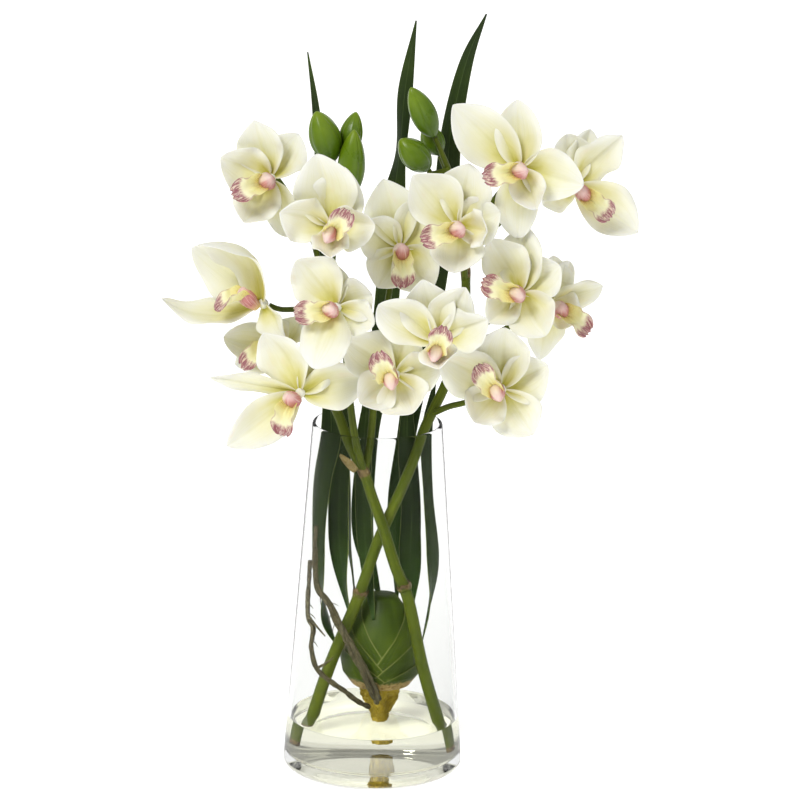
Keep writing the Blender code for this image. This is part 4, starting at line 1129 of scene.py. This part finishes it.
def make_tuft(material):
    """A fluted core with many fine roots down its side."""
    shell = Shell()
    rng = np.random.default_rng(11)
    low, high = TUFT_PROFILE[0][1], TUFT_PROFILE[-1][1]
    offset = np.array([BULB_X, BULB_Y, 0.0])

    def flute(points, t, angle):
        wave = 1 + TUFT_FLUTE * np.sin(7 * angle + points[..., 2] * 120)
        wave = wave + 0.03 * np.sin(17 * angle - points[..., 2] * 300)
        points = points * np.stack([wave, wave, np.ones_like(wave)], axis=-1)
        return points + offset

    core = [(TUFT_CORE * radius_at(TUFT_PROFILE, z), z) for z in np.linspace(low, high, 40)]
    turned(shell, core, 72, 0, shape=flute)
    for number in range(TUFT_ROOTS):
        top = rng.uniform(0.034, high - 0.001)
        length = rng.uniform(0.008, 0.026)
        bearing, swirl = rng.uniform(0, 2 * math.pi), rng.uniform(-0.7, 0.7)
        points = []
        for t in np.linspace(0, 1, 7):
            z = max(top - length * t, low + 0.0005)
            reach = radius_at(TUFT_PROFILE, z) * (TUFT_CORE + 0.10 * math.sin(9 * t + number)) + 0.0002
            turn = bearing + swirl * t + 0.06 * math.sin(11 * t + number)
            points.append(around(turn, reach, z))
        line = smooth_path(points, 12)
        if np.linalg.norm(line[-1] - line[0]) > 0.003:
            radii = np.linspace(1.0, 0.5, 13) * TUFT_ROOT_RADIUS * rng.uniform(0.7, 1.3)
            tube(shell, line, radii, 6, number)
    finished(shell, "fibrous_roots", "root_tuft", [material], centred=False)


def tuft_point(foot, lift):
    reach = radius_at(TUFT_PROFILE, foot[1] * MM) * (1 + TUFT_FLUTE) + lift
    return around(math.radians(foot[0]), reach, foot[1] * MM)


def root_line(path, foot, lift, steps):
    return smooth_path(np.vstack([placed(path), tuft_point(foot, lift)]), steps)


def bark(seed):
    rng = np.random.default_rng(seed)
    phases = rng.uniform(0, 2 * math.pi, 6)

    def rough(t, angle):
        waves = 0.10 * np.sin(3 * angle + 30 * t + phases[0])
        waves = waves + 0.08 * np.sin(5 * angle - 47 * t + phases[1])
        knots = 0.14 * np.sin(61 * t + phases[2]) * np.sin(23 * t + phases[3])
        knots = knots + 0.05 * np.sin(9 * angle + 90 * t + phases[4])
        return waves + knots

    return rough


def rootlets(shell, line, count, seed, spread=0.006):
    rng = np.random.default_rng(seed)
    for number in range(count):
        at = int(rng.uniform(0.08, 0.88) * len(line))
        tangent = unit(line[min(at + 2, len(line) - 1)] - line[max(at - 2, 0)])
        side = unit(np.cross(tangent, rng.normal(size=3)))
        length = rng.uniform(0.4, 1.0) * spread
        spots = np.linspace(0, 1, 6)
        points = [line[at] + side * length * t + tangent * length * 0.8 * t * t for t in spots]
        radii = np.linspace(1.0, 0.36, 11) * ROOTLET_RADIUS
        tube(shell, smooth_path(points, 10), radii, 6, 40 + number)


def make_roots(material):
    line = root_line(TWISTED_ROOT, TWISTED_ROOT_FOOT, 1.7 * AERIAL_ROOT_RADIUS + CLEARANCE, ROOT_STEPS)
    first, second = carried_frames(line)
    t = np.linspace(0, 1, len(line))
    shell = Shell()
    for number in range(ROOT_STRANDS):
        phase = 2 * math.pi * number / ROOT_STRANDS
        angle = phase + (5.5 + number % 3) * t + 0.7 * np.sin(13 * t + 2 * number)
        reach = AERIAL_ROOT_RADIUS * (0.30 + 1.05 * t) * (0.75 + 0.25 * np.sin(17 * t + 3 * number))
        points = line + first * (np.cos(angle) * reach)[:, None] + second * (np.sin(angle) * reach)[:, None]
        girth = np.interp(t, (0, 0.5, 1), (0.30, 0.50, 0.56)) * (1.3, 0.8, 1.0)[number % 3]
        radii = AERIAL_ROOT_RADIUS * girth
        tube(shell, points, radii, 14, number, rough=bark(number))
    rootlets(shell, line, 30, 5, 0.008)
    finished(shell, "woody_root_twisted", "aerial_root_twisted", [material])
    line = root_line(THIN_ROOT, THIN_ROOT_FOOT, THIN_ROOT_RADIUS + CLEARANCE, ROOT_STEPS)
    t = np.linspace(0, 1, len(line))
    shell = Shell()
    tube(shell, line, np.linspace(0.8, 1.0, len(line)) * THIN_ROOT_RADIUS, 18, 9, rough=bark(9))
    for branch in THIN_ROOT_BRANCHES:
        radii = np.linspace(0.6, 0.25, 21) * THIN_ROOT_RADIUS
        tube(shell, smooth_path(placed(branch), 20), radii, 10, 12, rough=bark(3))
    rootlets(shell, line, 9, 8)
    finished(shell, "woody_root_thin", "aerial_root_thin", [material])


def make_bract(material):
    foot, tip, half = placed(BRACT[0]), placed(BRACT[1]), BRACT[2] * MM
    along = tip - foot
    side = unit(np.cross(along, (0.0, -1.0, 0.0)))
    rows = []
    for t in np.linspace(0, 1, 26):
        spread = half * (0.55 + 0.9 * t - 1.35 * t * t) + 0.0002
        middle = foot + along * t + np.array([0.0, -1.0, 0.3]) * 0.002 * math.sin(math.pi * t)
        width = across(11)
        wave = 0.0004 * np.sin(9 * t + 4 * width)
        lift = np.outer(0.0015 * width * width + wave, (0.0, 1.0, 0.0))
        rows.append(middle + side * spread * width[:, None] + lift)
    shell = Shell()
    blade(shell, np.array(rows), BRACT_THICKNESS, 1)
    finished(shell, "dry_bract", "dried_bract", [material])


# Vase and water

def rounded(profile, radius, steps=6):
    """The (radius, height) points with each inner corner rounded."""
    profile = [np.array(point, float) for point in profile]
    out = [profile[0]]
    for before, corner, after in zip(profile, profile[1:], profile[2:]):
        reach = min(radius, 0.45 * np.linalg.norm(before - corner), 0.45 * np.linalg.norm(after - corner))
        start = corner + unit(before - corner) * reach
        end = corner + unit(after - corner) * reach
        for t in np.linspace(0, 1, steps):
            out.append(start * (1 - t) ** 2 + corner * 2 * t * (1 - t) + end * t**2)
    out.append(profile[-1])
    return out


def vase_sizes():
    low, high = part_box("glass_vase")
    foot = 0.5 * (high.x - low.x)
    return foot, high.z


def vase_radius(height):
    foot, top = vase_sizes()
    return foot + (VASE_RIM_RADIUS - foot) * (height - VASE_FOOT_ROUND) / (top - VASE_FOOT_ROUND)


def make_vase(wall, base):
    """The vase; its thin wall bends light less than its thick base."""
    foot, top = vase_sizes()
    inner = vase_radius(VASE_FLOOR) - VASE_WALL
    profile = [
        (AXIS_HOLE, 0.0010), (0.66 * foot, 0.0009), (0.76 * foot, 0.0), (foot - VASE_FOOT_ROUND, 0.0),
        (foot, VASE_FOOT_ROUND), (VASE_RIM_RADIUS, top - 0.0012), (VASE_RIM_RADIUS - 0.5 * VASE_WALL, top),
        (VASE_RIM_RADIUS - VASE_WALL, top - 0.0012),
        (inner, VASE_FLOOR + 0.002), (inner - 0.003, VASE_FLOOR), (AXIS_HOLE, VASE_FLOOR),
    ]
    shell = Shell()
    turned(shell, rounded(profile, GLASS_ROUNDING), GLASS_SIDES)
    piece = finished(shell, "clear_vase", "glass_vase", [wall, base], centred=False)
    for face in piece.data.polygons:
        face.material_index = int(face.center.z < VASE_FLOOR + 0.0035)


def make_water(material):
    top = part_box("cast_water")[1].z
    foot = VASE_FLOOR - WATER_OVERLAP
    inner = vase_radius(VASE_FLOOR) - VASE_WALL + WATER_OVERLAP
    edge = vase_radius(top) - VASE_WALL + WATER_OVERLAP
    profile = [
        (AXIS_HOLE, foot), (inner - 0.003, foot), (inner, foot + 0.0022), (edge, top + 0.0008),
        (edge - 0.0006, top + 0.0006), (edge - 0.0022, top), (AXIS_HOLE, top),
    ]
    shell = Shell()
    turned(shell, rounded(profile, WATER_ROUNDING), GLASS_SIDES)
    finished(shell, "still_water", "cast_water", [material], centred=False)


# Stage

CAMERA_PITCH = 14.77
CAMERA_ROLL = 0.98
CAMERA_DISTANCE = 3.5
CAMERA_TARGET = (0.0162, 0.0, 0.2805)
CAMERA_LENS = 215.2
FLOOR_REACH = 14.0
FLOOR_DEPTH = -0.0004
FLOOR_GLOW = 0.42
SKY_LEVELS = ((0.0, 0.62), (0.10, 0.66), (0.35, 0.80), (1.0, 1.0))  # upwards from the horizon
BACKDROP_LEVEL = 2.3
SKY_STRENGTH = 0.44
# Lamp: name, how it is turned (degrees), its strength, the angle it spans (degrees)
LAMPS = (("key", (48, 0, -36), 1.70, 22), ("fill", (62, 0, 48), 0.35, 60))


def make_camera():
    pitch, roll = math.radians(CAMERA_PITCH), math.radians(CAMERA_ROLL)
    forward = Vector((0, math.cos(pitch), -math.sin(pitch)))
    level = Vector((1, 0, 0))
    rise = Vector((0, math.sin(pitch), math.cos(pitch)))
    right = level * math.cos(roll) + rise * math.sin(roll)
    up = rise * math.cos(roll) - level * math.sin(roll)
    data = bpy.data.cameras.new("camera")
    data.sensor_width = 36.0
    data.lens = CAMERA_LENS
    data.clip_end = 100.0
    camera = linked("camera", data)
    place = Vector(CAMERA_TARGET) - forward * CAMERA_DISTANCE
    turn = Matrix((right, up, -forward)).transposed().to_4x4()
    camera.matrix_world = Matrix.Translation(place) @ turn
    bpy.context.scene.camera = camera


def make_floor():
    mesh = bpy.data.meshes.new("floor")
    signs = ((-1, -1), (1, -1), (1, 1), (-1, 1))
    corners = [(x * FLOOR_REACH, y * FLOOR_REACH, FLOOR_DEPTH) for x, y in signs]
    mesh.from_pydata(corners, [], [(0, 1, 2, 3)])
    n = Nodes("pale_floor")
    cloud = n.noise(n.place(), 3.0, 2.0)
    n.done(
        Base_Color=n.blend(cloud, (0.97, 0.97, 0.97), (0.99, 0.99, 0.99)),
        Roughness=0.9,
        Specular_IOR_Level=0.1,
        Emission_Color=(1.0, 1.0, 1.0),
        Emission_Strength=FLOOR_GLOW,
    )
    mesh.materials.append(n.owner)
    floor = linked("floor", mesh)


def make_light():
    n = Nodes("studio", "worlds")
    _, ahead, up = n.split(n.new("ShaderNodeTexCoord").outputs["Generated"])
    sky = n.ramp(up, [(at, (level, level, level)) for at, level in SKY_LEVELS])
    behind = n.made("ShaderNodeMapRange", (ahead, 0.25, 0.75, 0.0, 1.0))
    back = n.tree.nodes["Background"]
    n.feed(back.inputs[0], n.blend(behind, sky, (BACKDROP_LEVEL, BACKDROP_LEVEL, BACKDROP_LEVEL)))
    n.feed(back.inputs[1], SKY_STRENGTH)
    bpy.context.scene.world = n.owner
    for name, turn, strength, angle in LAMPS:
        data = bpy.data.lights.new(name, "SUN")
        data.energy = strength
        data.angle = math.radians(angle)
        linked(name, data).rotation_euler = [math.radians(a) for a in turn]
    scene = bpy.context.scene
    scene.view_settings.view_transform = "Standard"
    scene.view_settings.look = "None"


def main():
    make_camera()
    make_floor()
    make_light()
    tepal = tepal_material()
    lip_materials = [lip_material(), column_material()]
    for seed, (name, flower) in enumerate(FLOWERS.items(), 1):
        make_tepals(name, flower, seed, [tepal])
        make_lip(name, flower, seed, lip_materials)
    bud = bud_material()
    for seed, (name, row) in enumerate(BUDS.items(), 1):
        make_bud(f"bud_{name}", row, seed, bud)
    stem = stem_material()
    make_spike("left", LEFT_SPIKE, ("left", "middle"), (MIDDLE_BRANCH, SIDE_BRANCH), stem)
    make_spike("right", RIGHT_SPIKE, ("right",), (), stem)
    leaf = leaf_material()
    for number, (name, row) in enumerate(LEAVES.items(), 1):
        make_leaf(name, row, number, leaf)
    make_bulb(bulb_material())
    gold = (0.19, 0.12, 0.006), (0.52, 0.37, 0.020), (0.84, 0.68, 0.16)
    make_tuft(root_material("root_fibres", *gold, 600.0))
    brown = (0.026, 0.021, 0.008), (0.105, 0.090, 0.042), (0.300, 0.270, 0.155)
    make_roots(root_material("root_bark", *brown, 620.0))
    tan = (0.16, 0.10, 0.03), (0.36, 0.27, 0.10), (0.50, 0.42, 0.20)
    make_bract(root_material("bract", *tan, 400.0))
    wall = clear_material("clear_glass", (0.865, 0.87, 0.862), 1.085, 6.0, (0.975, 0.98, 0.975))
    make_vase(wall, clear_material("thick_glass", (0.965, 0.965, 0.93), 1.25, 6.0, (0.98, 0.98, 0.97)))
    make_water(clear_material("clear_water", (0.88, 0.872, 0.765), 1.28, 8.0, (0.98, 0.98, 0.92)))


main()
